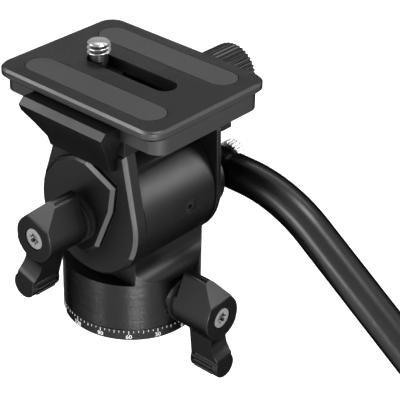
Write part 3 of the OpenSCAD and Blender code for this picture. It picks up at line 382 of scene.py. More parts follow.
# Each skin's tint and worn tint name a finish of the panel; grain depths are in millimetres
SKINS = {
    "black blasted coat": dict(tint="coat", worn="worn_edge", roughness=0.44, grains=5200.0,
                               grain_depth=0.006, wear=0.16, metallic=1.0, rim_tint=0.15),
    "black turned coat": dict(tint="coat", worn="worn_edge", roughness=0.3, grains=5200.0,
                              grain_depth=0.003, wear=0.16, metallic=1.0, rim_tint=0.15, rough_swing=0.06,
                              turned=True),
    "black plate coat": dict(tint="plate_coat", worn="worn_edge", roughness=0.44, grains=5200.0,
                             grain_depth=0.007, wear=0.2, metallic=1.0, rim_tint=0.15),
    "black knob coat": dict(tint="knob_coat", worn="worn_edge", roughness=0.4, grains=7000.0,
                            grain_depth=0.004, wear=0.14, metallic=1.0, rim_tint=0.15, rough_swing=0.06),
    "black tube coat": dict(tint="tube_coat", worn="worn_edge", roughness=0.3, grains=7000.0,
                            grain_depth=0.003, wear=0.12, metallic=1.0, rim_tint=0.2, rough_swing=0.06),
    # The chamfer skin is lighter and partly metallic: a painted highlight on the arms' chamfers.
    "cut chamfer": dict(tint="chamfer", worn="chamfer", roughness=0.36, grains=5200.0, grain_depth=0.004,
                        wear=0.3, metallic=0.35),
    "pad rubber": dict(tint="pad", worn="pad", worn_share=1.6, roughness=0.62, grains=3600.0,
                       grain_depth=0.012, wear=0.25, specular=0.2),
    "grip rubber": dict(tint="rubber", worn="rubber", worn_share=2.0, roughness=0.7, grains=3000.0,
                        grain_depth=0.016, wear=0.2, specular=0.2),
    "black plastic": dict(tint="plastic", worn="plastic", worn_share=2.2, roughness=0.5, grains=4200.0,
                          grain_depth=0.008, wear=0.2, specular=0.08),
    # A near-black, barely reflecting skin for the left jaw's top: painted shade in the gap between the jaw
    # and the plate.
    "black strip": dict(tint="plastic", share=0.5, worn="plastic", roughness=0.7, grains=2400.0,
                        grain_depth=0.02, wear=0.1, specular=0.04),
    "black nylon": dict(tint="plastic", worn="plastic", worn_share=2.2, roughness=0.5, grains=2600.0,
                        grain_depth=0.006, wear=0.1, specular=0.1),
    "natural nylon": dict(tint="nylon", worn="nylon", worn_share=1.1, roughness=0.5, grains=2600.0,
                          grain_depth=0.006, wear=0.3, lift=0.06),
}
METALS = {
    "turned steel": dict(tint="steel", roughness=0.27, lines=9000.0, depth=0.0015),
    "camera screw steel": dict(tint="steel", share=0.56, roughness=0.25, lines=9000.0, depth=0.0015),
    "dull cap steel": dict(tint="steel", share=0.42, roughness=0.36, lines=9000.0, depth=0.002),
    "zinc plated steel": dict(tint="steel", share=0.9, roughness=0.34, lines=5200.0, depth=0.002,
                              stain=(0.32, 0.31, 0.26)),
    "bearing bronze": dict(tint="bronze", roughness=0.36, lines=6400.0, depth=0.002,
                           stain=(0.28, 0.17, 0.07)),
}


def finish_named(name):
    """The material of that name, made at its first use from the finishes of the panel."""
    if name in bpy.data.materials:
        return bpy.data.materials[name]
    finishes = bpy.context.scene.head_finishes
    if name == "dial ink":
        return print_ink(name, finishes.ink)
    values = dict(METALS[name] if name in METALS else SKINS[name])
    colour = scaled(getattr(finishes, values.pop("tint")), values.pop("share", 1.0))
    if name in METALS:
        return machined_metal(name, colour, **values)
    worn = scaled(getattr(finishes, values.pop("worn")), values.pop("worn_share", 1.0))
    return coated_skin(name, colour, worn, **values)


# Shapes, all drawn in millimetres

JOINED_WITHIN = 0.0005


def publish(bm, name, body, finish, stands_for=(), sharp=32.0, second=None, recalc=True, level=True):
    """Turns a bmesh in millimetres into a finished piece that rides on a body."""
    if recalc:
        bmesh.ops.recalc_face_normals(bm, faces=bm.faces)
    bmesh.ops.scale(bm, vec=(MM, MM, MM), verts=bm.verts)
    mesh = bpy.data.meshes.new(name)
    bm.to_mesh(mesh)
    bm.free()
    mesh.shade_smooth()
    mesh.set_sharp_from_angle(angle=math.radians(sharp))
    mesh.materials.append(finish_named(finish))
    if second:
        mesh.materials.append(finish_named(second))
    piece = bpy.data.objects.new(name, mesh)
    bpy.context.scene.collection.objects.link(piece)
    if level:
        weighted = piece.modifiers.new("even shading", "WEIGHTED_NORMAL")
        weighted.keep_sharp = True
        weighted.weight = 60
    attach(piece, body)
    if stands_for:
        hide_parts(*stands_for)
    return piece


def merged_copy(node):
    """A bmesh copy of a solid of the frame, in millimetres, merged and with its flats whole."""
    bm = bmesh.new()
    bm.from_mesh(frame["nodes"][node].data)
    bmesh.ops.scale(bm, vec=(1 / MM, 1 / MM, 1 / MM), verts=bm.verts)
    bmesh.ops.remove_doubles(bm, verts=bm.verts, dist=0.002)
    bmesh.ops.dissolve_limit(bm, angle_limit=math.radians(0.3), use_dissolve_boundaries=False,
                             verts=bm.verts, edges=bm.edges)
    return bm


def round_edges(bm, width, segments=2, from_deg=28.0, where=None, clamp=True):
    """Rounds the edges sharper than an angle, in the places that the test allows."""
    chosen = []
    for edge in bm.edges:
        if len(edge.link_faces) != 2 or edge.calc_face_angle(0.0) < math.radians(from_deg):
            continue
        middle = (edge.verts[0].co + edge.verts[1].co) / 2
        if where is None or where(middle, edge):
            chosen.append(edge)
    if chosen:
        bmesh.ops.bevel(bm, geom=chosen, offset=width, offset_type="OFFSET", affect="EDGES",
                        segments=segments, profile=0.5, material=-1, clamp_overlap=clamp,
                        loop_slide=True)


def softened(node, name, body, finish, width, segments=2, from_deg=28.0, where=None, apart=None,
             second="cut chamfer", clamp=True):
    """A solid of the frame with its edges rounded, standing for it; some faces may be finished apart."""
    bm = merged_copy(node)
    if apart:
        for face in bm.faces:
            if apart(face):
                face.material_index = 1
    round_edges(bm, width, segments, from_deg, where, clamp)
    return publish(bm, name, body, finish, (node,), recalc=False,
                   second=second if apart else None)


def lathe(bm, profile, place=None, steps=96):
    """Spins a list of (radius, height) about Z, then puts it in its place."""
    before = set(bm.verts)
    verts = [bm.verts.new((r, 0, h)) for r, h in profile]
    edges = [bm.edges.new(pair) for pair in zip(verts, verts[1:])]
    bmesh.ops.spin(bm, geom=verts + edges, cent=(0, 0, 0), axis=(0, 0, 1), angle=FULL_TURN,
                   steps=steps, use_merge=True, use_duplicate=False)
    made = [v for v in bm.verts if v not in before]
    bmesh.ops.remove_doubles(bm, verts=made, dist=JOINED_WITHIN)
    made = [v for v in bm.verts if v not in before]
    if place is not None:
        bmesh.ops.transform(bm, matrix=place, verts=made)
    return made


def fluted(bm, radius, flutes, depth, levels, place):
    """A fluted wheel along Z: levels are (share of the radius, height) from foot to face."""
    before = set(bm.verts)
    per = 6
    ring = bmesh.ops.create_circle(bm, cap_ends=False, segments=flutes * per, radius=radius)["verts"]
    ring = sorted(ring, key=lambda v: math.atan2(v.co.y, v.co.x))
    for i, vert in enumerate(ring):
        dip = (0.0, 0.15, 0.85, 1.0, 0.85, 0.15)[i % per]
        vert.co *= (radius - depth * dip) / radius
    edges = list({e for v in ring for e in v.link_edges})
    start = [v.co.copy() for v in ring]
    bmesh.ops.contextual_create(bm, geom=edges)
    share, height = levels[0]
    for vert, co in zip(ring, start):
        vert.co = Vector((co.x * share, co.y * share, height))
    current = edges
    for (old_share, old_height), (share, height) in zip(levels, levels[1:]):
        grown = bmesh.ops.extrude_edge_only(bm, edges=current)["geom"]
        verts = [g for g in grown if isinstance(g, bmesh.types.BMVert)]
        kept = set(verts)
        current = [g for g in grown if isinstance(g, bmesh.types.BMEdge) and kept.issuperset(g.verts)]
        bmesh.ops.scale(bm, vec=(share / old_share, share / old_share, 1), verts=verts)
        bmesh.ops.translate(bm, vec=(0, 0, height - old_height), verts=verts)
    bmesh.ops.contextual_create(bm, geom=current)
    made = [v for v in bm.verts if v not in before]
    bmesh.ops.transform(bm, matrix=place, verts=made)


def helix_ridge(bm, section, pitch, turns, steps, place):
    """A closed ridge that climbs round Z; section is its outline as (radius, height)."""
    before = set(bm.verts)
    verts = [bm.verts.new((r, 0, h)) for r, h in section]
    edges = [bm.edges.new(pair) for pair in zip(verts, verts[1:] + verts[:1])]
    bmesh.ops.spin(bm, geom=verts + edges, cent=(0, 0, 0), axis=(0, 0, 1), dvec=(0, 0, pitch / steps),
                   angle=FULL_TURN * turns, steps=int(steps * turns), use_merge=False,
                   use_duplicate=False)
    made = [v for v in bm.verts if v not in before]
    open_edges = [e for e in bm.edges if e.is_boundary and e.verts[0] in set(made)]
    bmesh.ops.holes_fill(bm, edges=open_edges, sides=0)
    bmesh.ops.transform(bm, matrix=place, verts=made)


def small_block(bm, size, place):
    """A block of that size at that place."""
    made = bmesh.ops.create_cube(bm, size=1.0)["verts"]
    bmesh.ops.scale(bm, vec=size, verts=made)
    bmesh.ops.transform(bm, matrix=place, verts=made)
    return made


def printed_number(bm, words, height, azimuth, z):
    """Digits of that height wrapped on the dial ring, read from outside."""
    digit_share, thickened = 0.7, 0.03
    curve = bpy.data.curves.new("digits", "FONT")
    curve.body = words
    curve.size = height / digit_share
    curve.align_x = "CENTER"
    curve.align_y = "CENTER"
    curve.extrude = INK_T / 2
    curve.offset = thickened
    curve.resolution_u = 3
    text = bpy.data.objects.new("digits", curve)
    bpy.context.scene.collection.objects.link(text)
    bpy.context.view_layer.update()
    mesh = bpy.data.meshes.new_from_object(text.evaluated_get(bpy.context.evaluated_depsgraph_get()))
    bpy.data.objects.remove(text)
    bpy.data.curves.remove(curve)
    before = set(bm.verts)
    bm.from_mesh(mesh)
    bpy.data.meshes.remove(mesh)
    made = [v for v in bm.verts if v not in before]
    bmesh.ops.remove_doubles(bm, verts=made, dist=JOINED_WITHIN)
    for vert in (v for v in bm.verts if v not in before):
        angle = azimuth - vert.co.x / DIAL_R
        radius = DIAL_R + INK_T / 2 + vert.co.z
        vert.co = Vector((-radius * math.sin(angle), -radius * math.cos(angle), z + vert.co.y))


def paint_node(node, finish):
    """Gives a solid of the frame its detailed finish."""
    data = frame["nodes"][node].data
    data.materials.clear()
    data.materials.append(finish_named(finish))


# Settings that a user would change


class HeadFinishes(bpy.types.PropertyGroup):
    """Colours of the head's finishes."""

    def tint(label, description, value):
        return bpy.props.FloatVectorProperty(name=label, description=description, subtype="COLOR",
                                             size=3, min=0.0, max=1.0, default=value)

    coat: tint("Coat", "Blasted coat of the castings", (0.026, 0.026, 0.0265))
    plate_coat: tint("Plate coat", "Coat of the quick release plate", (0.048, 0.048, 0.049))
    knob_coat: tint("Knob coat", "Satin coat of the knobs", (0.023, 0.023, 0.0235))
    tube_coat: tint("Tube coat", "Satin coat of the handle tube", (0.03, 0.03, 0.0306))
    worn_edge: tint("Worn edge", "Where the coat has thinned at an edge", (0.14, 0.14, 0.145))
    # Chamfer: a lighter tint that paints a highlight on the arms' chamfers.
    chamfer: tint("Cut chamfer", "Lighter tint painting a highlight on chamfers", (0.05, 0.05, 0.0512))
    pad: tint("Pad", "Rubber pads on the plate", (0.023, 0.023, 0.0236))
    rubber: tint("Grip", "Rubber of the handle grip", (0.016, 0.016, 0.016))
    plastic: tint("Plastic", "Black plastic of the collars", (0.007, 0.007, 0.007))
    nylon: tint("Nylon", "Nylon of the friction discs", (0.72, 0.7, 0.64))
    steel: tint("Steel", "Bare steel", (0.5, 0.5, 0.508))
    bronze: tint("Bronze", "Bronze of the bearings", (0.6, 0.42, 0.2))
    ink: tint("Ink", "Ink of the dial", (0.5, 0.5, 0.5))


class HeadSizes(bpy.types.PropertyGroup):
    """Sizes of the details that the solids don't hold."""

    def length(label, description, value):
        return bpy.props.FloatProperty(name=label, description=description, unit="LENGTH",
                                       subtype="DISTANCE", precision=5, min=0.00001, max=0.01,
                                       default=value)

    casting_edge: length("Casting edge", "Rounding of the castings' edges", 0.00022)
    plate_edge: length("Plate edge", "Rounding of the plate's edges", 0.00016)
    knob_edge: length("Knob edge", "Rounding of the wing knobs' front edges", 0.00035)
    digit_height: length("Digit height", "Height of the dial's numbers", 0.00125)
    thread_pitch: length("Thread pitch", "Pitch of the camera screw", 0.00127)
    clamp_flutes: bpy.props.IntProperty(name="Clamp flutes", description="Flutes round the clamp knob",
                                        min=12, max=60, default=40)
    grip_ribs: bpy.props.IntProperty(name="Grip ribs", description="Ribs along the grip",
                                     min=4, max=30, default=14)


def sizes():
    return bpy.context.scene.head_sizes


# One operator for each piece or group of like pieces


class PaintInnerParts(bpy.types.Operator):
    """Gives the solids that stay as they are their finishes"""

    bl_idname = "videohead.paint_inner_parts"
    bl_label = "Inner parts"

    def execute(self, context):
        for node, finish in {
            "pan_spindle": "turned steel", "pan_center_bolt": "zinc plated steel",
            "spindle_screws": "zinc plated steel", "dust_seal": "grip rubber",
            "pan_friction_disc": "natural nylon", "pan_thrust_washer": "bearing bronze",
            "pan_wave_washer": "zinc plated steel", "pan_brake_shoe": "bearing bronze",
            "tilt_cartridge": "turned steel", "tilt_bearings": "bearing bronze",
            "tilt_end_caps": "black plastic", "tilt_friction_washers": "natural nylon",
            "tilt_set_screw": "black plastic", "pan_knob_washer": "black plastic",
            "pan_lock_stud": "zinc plated steel", "tilt_axle": "turned steel",
            "tilt_rotor": "bearing bronze", "arm_screws": "zinc plated steel",
            "jaw_guide_pins": "turned steel", "jaw_springs": "zinc plated steel",
            "handle_mount_screws": "zinc plated steel", "tilt_lock_stud": "zinc plated steel",
            "clamp_screw": "zinc plated steel", "clamp_knob_washer": "zinc plated steel",
            "screw_washer": "black nylon",
        }.items():
            paint_node(node, finish)
        return {"FINISHED"}


class DressBase(bpy.types.Operator):
    """Builds the base ring and its dial, and gives the tripod socket its finish"""

    bl_idname = "videohead.dress_base"
    bl_label = "Base and dial"

    def execute(self, context):
        softened("base_plate", "base_ring", "base", "black blasted coat", 0.12, from_deg=35.0)
        zero_deg, tick_deg = 0.8, 4.0
        tick_units, middle_units, number_units, last_units = 5, 15, 30, 180
        digits_z = 1.3
        bm = bmesh.new()
        ticks = last_units // tick_units
        for step in range(-ticks, ticks + 1):
            units = abs(step) * tick_units
            numbered = units % number_units == 0
            tall = 1.15 if numbered else (0.9 if units % middle_units == 0 else 0.62)
            wide = 0.2 if numbered else 0.16
            angle = math.radians(zero_deg + tick_deg * step)
            place = Matrix.Rotation(math.pi - angle, 4, "Z")
            place = place @ Matrix.Translation((0, DIAL_R + INK_T / 2, DIAL_TOP - tall / 2))
            small_block(bm, (wide, INK_T, tall), place)
        publish(bm, "dial_ticks", "base", "dial ink", level=False)
        bm = bmesh.new()
        height = sizes().digit_height / MM
        numbers = last_units // number_units
        number_deg = tick_deg * number_units / tick_units
        for step in range(-numbers, numbers + 1):
            azimuth = math.radians(zero_deg + number_deg * step)
            printed_number(bm, str(abs(step) * number_units), height, azimuth, digits_z)
        publish(bm, "dial_numbers", "base", "dial ink", level=False)
        paint_node("tripod_socket", "zinc plated steel")
        return {"FINISHED"}


class DressHousing(bpy.types.Operator):
    """Builds the pan housing with its tilt cylinder"""

    bl_idname = "videohead.dress_housing"
    bl_label = "Housing"

    def execute(self, context):
        line_y, line_z, end_x = -11, 45, 13.3

        def clear_of_line(middle, _edge):
            inside = middle.y < line_y and middle.z > line_z
            on_end = abs(abs(middle.x) - end_x) < 0.01
            return not inside or on_end

        def pot_wall(face):
            return face.calc_center_median().z < POT_WALL_TOP and abs(face.normal.z) < 0.1

        softened("main_housing", "housing", "panner", "black blasted coat", 0.16, from_deg=32.0,
                 where=clear_of_line, apart=pot_wall, second="black turned coat")
        return {"FINISHED"}


class DressArms(bpy.types.Operator):
    """Builds the two arms, with their chamfers lightened as a painted highlight, and the collar of the tilt
    knob
    """

    bl_idname = "videohead.dress_arms"
    bl_label = "Arms"

    def execute(self, context):
        edge = sizes().casting_edge / MM
        least_slant, most_slant = 0.45, 0.86
        outer_x = -16.9

        # Slanted faces on the left arm's outer side that face the rear get the lighter chamfer finish: a
        # painted highlight where light catches them.
        def left_painted_highlight(face):
            slanted = -most_slant < face.normal.x < -least_slant
            to_rear = face.normal.y < -0.1 and face.normal.z > -0.3
            return slanted and to_rear and face.calc_center_median().x < outer_x

        # Slanted faces of the right arm get the same lighter finish: a painted highlight.
        def right_painted_highlight(face):
            return least_slant < face.normal.x < most_slant

        softened("left_arm", "left_arm_cast", "tilter", "black blasted coat", edge, from_deg=24.0,
                 apart=left_painted_highlight)
        softened("right_arm", "right_arm_cast", "tilter", "black blasted coat", edge, from_deg=24.0,
                 apart=right_painted_highlight)
        softened("tilt_knob_collar", "tilt_collar", "tilter", "black plastic", 0.15)
        return {"FINISHED"}


class DressClamp(bpy.types.Operator):
    """Builds the clamp bed, the moving jaw and the knurled clamp knob"""

    bl_idname = "videohead.dress_clamp"
    bl_label = "Clamp"

    def execute(self, context):
        # The left jaw's upward faces get a near-black skin: painted shade in the gap between the jaw and the
        # plate.
        painted_shade_x = -15

        def left_jaw_painted_shade(face):
            return face.normal.z > 0.9 and face.calc_center_median().x < painted_shade_x

        softened("clamp_bed", "clamp_bed_cast", "tilter", "black blasted coat", 0.2, from_deg=24.0,
                 apart=left_jaw_painted_shade, second="black strip")
        softened("moving_jaw", "moving_jaw_cast", "jaw", "black blasted coat", 0.2, from_deg=24.0)
        wheel_r, flute_depth = 8.0, 0.5
        bm = bmesh.new()
        start = Matrix.Translation((corners("clamp_knob")[0][0], 0, CLAMP_Z)) @ ALONG_X
        fluted(bm, wheel_r, sizes().clamp_flutes, flute_depth,
               [(0.775, 0.0), (0.93, 1.7), (0.985, 2.5), (1.0, 3.1), (1.0, 12.1), (0.985, 12.5), (0.95, 12.8),
                (0.72, 12.8), (0.7, 12.5), (0.68, 12.0)], start)
        publish(bm, "clamp_wheel_knurled", "clamp_wheel", "black knob coat", ("clamp_knob",), sharp=40.0)
        return {"FINISHED"}


class DressPlate(bpy.types.Operator):
    """Builds the quick release plate, its pads and the threaded camera screw"""

    bl_idname = "videohead.dress_plate"
    bl_label = "Plate and camera screw"

    def execute(self, context):
        softened("release_plate", "plate_cut", "plate", "black plate coat", sizes().plate_edge / MM,
                 from_deg=20.0)
        softened("grip_pads", "plate_pads", "plate", "pad rubber", 0.12, from_deg=40.0)
        pitch = sizes().thread_pitch / MM
        (_, _, head_low), (head_r, _, tip_z) = corners("camera_screw")
        shank_r, root_r, crest_r = 2.5, 2.42, 3.175
        head_top, thread_z, thread_low, thread_high = 67.9, 73.3, 73.15, 75.85
        bm = bmesh.new()
        lathe(bm, [(0, head_low), (7.0, head_low), (head_r, 65.5), (head_r, 67.6), (7.0, head_top),
                   (shank_r, head_top), (shank_r, 72.7), (root_r, 72.9), (root_r, 76.0), (3.0, 76.25),
                   (3.02, 76.42), (2.62, 76.8), (shank_r, tip_z), (0, tip_z)],
              Matrix.Translation((0, SCREW_Y, 0)))
        helix_ridge(bm, [(2.3, -0.6), (2.95, -0.2), (3.13, -0.1), (crest_r, 0.0), (3.13, 0.1), (2.95, 0.2),
                         (2.3, 0.6)], pitch, (thread_high - thread_low) / pitch, 64,
                    Matrix.Translation((0, SCREW_Y, thread_z)))
        publish(bm, "camera_screw_threaded", "camera_bolt", "camera screw steel", ("camera_screw",),
                sharp=40.0)
        return {"FINISHED"}


class DressWingKnobs(bpy.types.Operator):
    """Builds the two wing knobs with their cap screws"""

    bl_idname = "videohead.dress_wing_knobs"
    bl_label = "Wing knobs"

    def execute(self, context):
        width = sizes().knob_edge / MM
        front_depth, bore_r = 0.8, 4.0
        waist_low, waist_high = -8.2, -3.0
        for node, name, body, place in (
            ("pan_lock_knob", "pan_wing", "pan_knob", PAN_KNOB),
            ("tilt_lock_knob", "tilt_wing", "tilt_knob", TILT_KNOB),
        ):
            back = place.inverted()

            def round_the_face(middle, _edge, back=back):
                local = back @ middle
                by_waist = waist_low < local.y < waist_high
                in_bore = local.x ** 2 + local.y ** 2 < bore_r ** 2
                return local.z > KNOB_LEN - front_depth and not by_waist and not in_bore

            softened(node, name, body, "black knob coat", width, segments=3, from_deg=22.0,
                     where=round_the_face, clamp=False)
        for knob in ("pan", "tilt"):
            softened(knob + "_knob_screw", knob + "_cap_screw", knob + "_knob", "dull cap steel", 0.08,
                     segments=1, from_deg=40.0)
        return {"FINISHED"}


class DressHandle(bpy.types.Operator):
    """Builds the handle with its mount, socket, bolt, bent tube, ribbed grip and grip end"""

    bl_idname = "videohead.dress_handle"
    bl_label = "Handle"

    def execute(self, context):
        softened("handle_mount", "mount_disc", "tilter", "black blasted coat", 0.2, from_deg=30.0)
        softened("handle_socket", "tube_socket", "handle", "black tube coat", 0.15, from_deg=30.0)
        self.build_tube()
        self.build_bolt()
        self.build_grip()
        return {"FINISHED"}

    def build_tube(self):
        tube_y, end_rounding = TUBE_HIGH[1] - FIT, 0.35
        bm = bmesh.new()
        ring = bmesh.ops.create_circle(bm, cap_ends=True, segments=64, radius=TUBE_R)["verts"]
        bmesh.ops.transform(bm, matrix=Matrix.Translation((HANDLE_X, tube_y, TILT_Z))
                            @ Matrix.Rotation(math.radians(90), 4, "X"), verts=ring)
        edges = list(bm.edges)
        for part in ("start", "bend", "tail"):
            if part == "bend":
                grown = bmesh.ops.spin(bm, geom=edges, cent=(HANDLE_X, BEND_Y, TILT_Z - BEND_R),
                                       axis=(1, 0, 0), angle=math.radians(BEND_DEG), steps=28,
                                       use_merge=False, use_duplicate=False)["geom_last"]
            else:
                grown = bmesh.ops.extrude_edge_only(bm, edges=edges)["geom"]
            verts = [g for g in grown if isinstance(g, bmesh.types.BMVert)]
            kept = set(verts)
            edges = [g for g in grown if isinstance(g, bmesh.types.BMEdge) and kept.issuperset(g.verts)]
            if part == "start":
                bmesh.ops.translate(bm, vec=(0, BEND_Y - tube_y, 0), verts=verts)
            if part == "tail":
                run = TAIL_START.to_3x3() @ Vector((0, 0, TAIL))
                bmesh.ops.translate(bm, vec=run, verts=verts)
        bmesh.ops.contextual_create(bm, geom=edges)
        round_edges(bm, end_rounding, 3, 60.0)
        publish(bm, "bent_tube", "handle", "black tube coat", ("handle_tube",), sharp=50.0)

    def build_bolt(self):
        (tip_x, _, _), (face_x, _, _) = corners("handle_bolt")
        head_len, head_r, flutes, flute_depth = 3.4, 4.0, 24, 0.32
        head_x = round(face_x - head_len, 3)
        shank_r, shank_end, shank_top = 2.0, round(tip_x - head_x, 3), 0.2
        bm = bmesh.new()
        start = Matrix.Translation((head_x, HANDLE_Y, TILT_Z)) @ ALONG_X
        fluted(bm, head_r, flutes, flute_depth,
               [(0.93, 0.0), (1.0, 0.3), (1.0, 3.0), (0.93, head_len), (0.62, head_len), (0.55, 2.2)], start)
        lathe(bm, [(0, shank_end), (1.9, shank_end), (shank_r, shank_end + 0.1), (shank_r, shank_top),
                   (0, shank_top)], start, 32)
        publish(bm, "handle_bolt_knurled", "handle_lock", "turned steel", ("handle_bolt",), sharp=40.0)

    def build_grip(self):
        ribs = sizes().grip_ribs
        long, bore_r, far, plain_end = TAIL - GRIP_FROM, TUBE_R + FIT, 12.5, 12.0
        profile = [(bore_r, 0), (10.4, 0), (11.4, 0.35), (12.2, 1.2), (12.45, 2.2), (far, 3.4)]
        pitch = (long - 2 * plain_end) / (ribs - 1)
        for i in range(ribs):
            middle = plain_end + i * pitch
            profile += [(far, middle - 0.95), (far - 0.12, middle - 0.75), (far - 0.6, middle - 0.35),
                        (far - 0.7, middle), (far - 0.6, middle + 0.35), (far - 0.12, middle + 0.75),
                        (far, middle + 0.95)]
        profile += [(far, long - 3.4), (12.45, long - 2.2), (12.2, long - 1.0), (11.6, long - 0.2),
                    (11.2, long), (bore_r, long), (bore_r, 0)]
        bm = bmesh.new()
        lathe(bm, profile, TAIL_START @ Matrix.Translation((0, 0, GRIP_FROM)), 80)
        publish(bm, "ribbed_grip", "handle", "grip rubber", ("handle_grip",), sharp=40.0)
        bm = bmesh.new()
        lathe(bm, [(0, -9.9), (3.7, -9.9), (3.98, -9.6), (3.98, 0.03), (10.9, 0.03), (10.9, 2.2), (10.6, 3.1),
                   (9.8, 3.75), (8.4, 4.0), (4.2, 4.0), (3.9, 3.7), (0, 3.7)],
              TAIL_START @ Matrix.Translation((0, 0, TAIL)), 80)
        publish(bm, "grip_end", "handle", "grip rubber", ("handle_end_cap",), sharp=40.0)


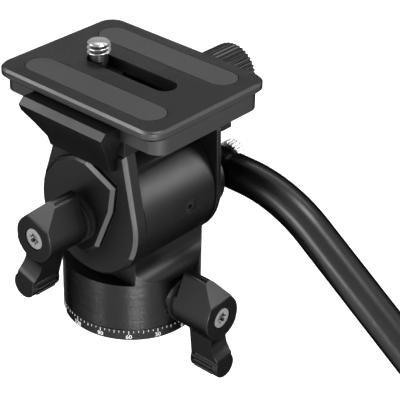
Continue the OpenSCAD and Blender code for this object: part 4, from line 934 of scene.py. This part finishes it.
class SetStage(bpy.types.Operator):
    """Sets the pale floor, the soft lights, the world and the camera"""

    bl_idname = "videohead.set_stage"
    bl_label = "Stage"

    def execute(self, context):
        self.lay_floor()
        self.hang_lights()
        self.fill_world()
        self.place_camera()
        context.scene.view_settings.view_transform = "Standard"
        return {"FINISHED"}

    def lay_floor(self):
        bm = bmesh.new()
        half_side, below, camera_share = 6.0, 0.001, 0.32
        darker, lighter = (0.8, 0.8, 0.8), (0.84, 0.84, 0.84)
        bmesh.ops.create_grid(bm, x_segments=2, y_segments=2, size=half_side)
        bmesh.ops.translate(bm, vec=(0, 0, CAD_LOW.z - below), verts=bm.verts)
        mesh = bpy.data.meshes.new("floor")
        bm.to_mesh(mesh)
        bm.free()
        floor = bpy.data.objects.new("floor", mesh)
        bpy.context.scene.collection.objects.link(floor)
        material, tree, shader = empty_material("pale floor")
        grain = placed(tree, blasted_grain_group(), Grains_per_metre=900.0)
        tree.links.new(mixed(tree, grain.outputs["Height"], darker, lighter), shader.inputs["Base Color"])
        shader.inputs["Roughness"].default_value = 0.9
        shader.inputs["Specular IOR Level"].default_value = 0.1
        rays = tree.nodes.new("ShaderNodeLightPath")
        shader.inputs["Emission Color"].default_value = (1, 1, 1, 1)
        tree.links.new(maths(tree, "MULTIPLY", rays.outputs["Is Camera Ray"], camera_share),
                       shader.inputs["Emission Strength"])
        mesh.materials.append(material)

    def hang_lights(self):
        aim = Vector((0, 0, 0.035))
        for name, azimuth, elevation, distance, wide, high, watts in (
            ("right_box", 42.0, 17.0, 0.75, 0.26, 0.24, 4.4),
            ("low_front_box", -39.0, 4.0, 0.75, 0.22, 0.08, 6.5),
            ("top_box", 8.0, 68.0, 0.8, 0.26, 0.26, 3.4),
            ("top_strip", 105.0, 54.0, 0.9, 0.85, 0.14, 2.4),
            ("left_box", -128.0, 40.0, 0.9, 0.7, 0.3, 9.0),
            ("low_left_box", -97.0, 4.0, 0.8, 0.22, 0.2, 2.6),
        ):
            lamp = bpy.data.lights.new(name, "AREA")
            lamp.shape = "RECTANGLE"
            lamp.size = wide
            lamp.size_y = high
            lamp.energy = watts
            light = bpy.data.objects.new(name, lamp)
            a, e = math.radians(azimuth), math.radians(elevation)
            back = Vector((math.sin(a) * math.cos(e), -math.cos(a) * math.cos(e), math.sin(e)))
            light.location = aim + back * distance
            light.rotation_euler = back.to_track_quat("Z", "Y").to_euler()
            light.visible_camera = False
            bpy.context.scene.collection.objects.link(light)

    def fill_world(self):
        far_way, dim_at, full_at = (0.62, 0.62, 0.35), -0.2, 0.75
        dim, full = 0.07, 0.45
        world = bpy.data.worlds.new("studio")
        bpy.context.scene.world = world
        world.use_nodes = True
        tree = world.node_tree
        shown = tree.nodes["Background"]
        rays = tree.nodes.new("ShaderNodeLightPath")
        way = tree.nodes.new("ShaderNodeTexCoord").outputs["Generated"]
        across = tree.nodes.new("ShaderNodeVectorMath")
        across.operation = "DOT_PRODUCT"
        across.inputs[1].default_value = far_way
        tree.links.new(way, across.inputs[0])
        far_side = tree.nodes.new("ShaderNodeMapRange")
        far_side.interpolation_type = "SMOOTHSTEP"
        far_side.inputs["From Min"].default_value = dim_at
        far_side.inputs["From Max"].default_value = full_at
        far_side.inputs["To Min"].default_value = dim
        far_side.inputs["To Max"].default_value = full
        tree.links.new(across.outputs["Value"], far_side.inputs["Value"])
        fill = far_side.outputs["Result"]
        seen = maths(tree, "MAXIMUM", rays.outputs["Is Camera Ray"], rays.outputs["Is Transmission Ray"])
        seen = maths(tree, "MAXIMUM", seen, rays.outputs["Is Glossy Ray"])
        rest = maths(tree, "MULTIPLY", fill, maths(tree, "SUBTRACT", 1.0, seen))
        strength = maths(tree, "ADD", seen, rest)
        tree.links.new(strength, shown.inputs["Strength"])
        shown.inputs["Color"].default_value = (1, 1, 1, 1)

    def place_camera(self):
        azimuth, elevation, roll = math.radians(-48.9504), math.radians(30.8877), math.radians(1.3272)
        focal_px, picture_px = 1458.119, 400.0
        place = (-0.24422, -0.237243, 0.237087)
        back = Vector((math.sin(azimuth) * math.cos(elevation), -math.cos(azimuth) * math.cos(elevation),
                       math.sin(elevation)))
        right = Vector((math.cos(azimuth), math.sin(azimuth), 0))
        up = back.cross(right)
        right, up = (math.cos(roll) * right + math.sin(roll) * up,
                     math.cos(roll) * up - math.sin(roll) * right)
        data = bpy.data.cameras.new("camera")
        data.sensor_width = 36.0
        data.lens = focal_px * data.sensor_width / picture_px
        data.clip_start = 0.01
        data.clip_end = 50.0
        camera = bpy.data.objects.new("camera", data)
        camera.matrix_world = Matrix((
            (right.x, up.x, back.x, place[0]),
            (right.y, up.y, back.y, place[1]),
            (right.z, up.z, back.z, place[2]),
            (0, 0, 0, 1),
        ))
        bpy.context.scene.collection.objects.link(camera)
        bpy.context.scene.camera = camera


OPERATORS = (PaintInnerParts, DressBase, DressHousing, DressArms, DressClamp, DressPlate, DressWingKnobs,
             DressHandle, SetStage)


class HeadPanel(bpy.types.Panel):
    """Lists the settings and the building steps of the head"""

    bl_idname = "VIEW3D_PT_videohead"
    bl_label = "Video head"
    bl_space_type = "VIEW_3D"
    bl_region_type = "UI"
    bl_category = "Video head"

    def draw(self, context):
        for group in (context.scene.head_sizes, context.scene.head_finishes):
            box = self.layout.box()
            for key in group.__annotations__:
                box.prop(group, key)
        for operator in OPERATORS:
            self.layout.operator(operator.bl_idname)


CLASSES = (HeadFinishes, HeadSizes, *OPERATORS, HeadPanel)


def register():
    for cls in CLASSES:
        bpy.utils.register_class(cls)
    bpy.types.Scene.head_finishes = bpy.props.PointerProperty(type=HeadFinishes)
    bpy.types.Scene.head_sizes = bpy.props.PointerProperty(type=HeadSizes)


def unregister():
    del bpy.types.Scene.head_sizes
    del bpy.types.Scene.head_finishes
    for cls in reversed(CLASSES):
        bpy.utils.unregister_class(cls)


def main():
    register()
    bpy.ops.videohead.paint_inner_parts()
    bpy.ops.videohead.dress_base()
    bpy.ops.videohead.dress_housing()
    bpy.ops.videohead.dress_arms()
    bpy.ops.videohead.dress_clamp()
    bpy.ops.videohead.dress_plate()
    bpy.ops.videohead.dress_wing_knobs()
    bpy.ops.videohead.dress_handle()
    bpy.ops.videohead.set_stage()


if __name__ == "__main__":
    main()
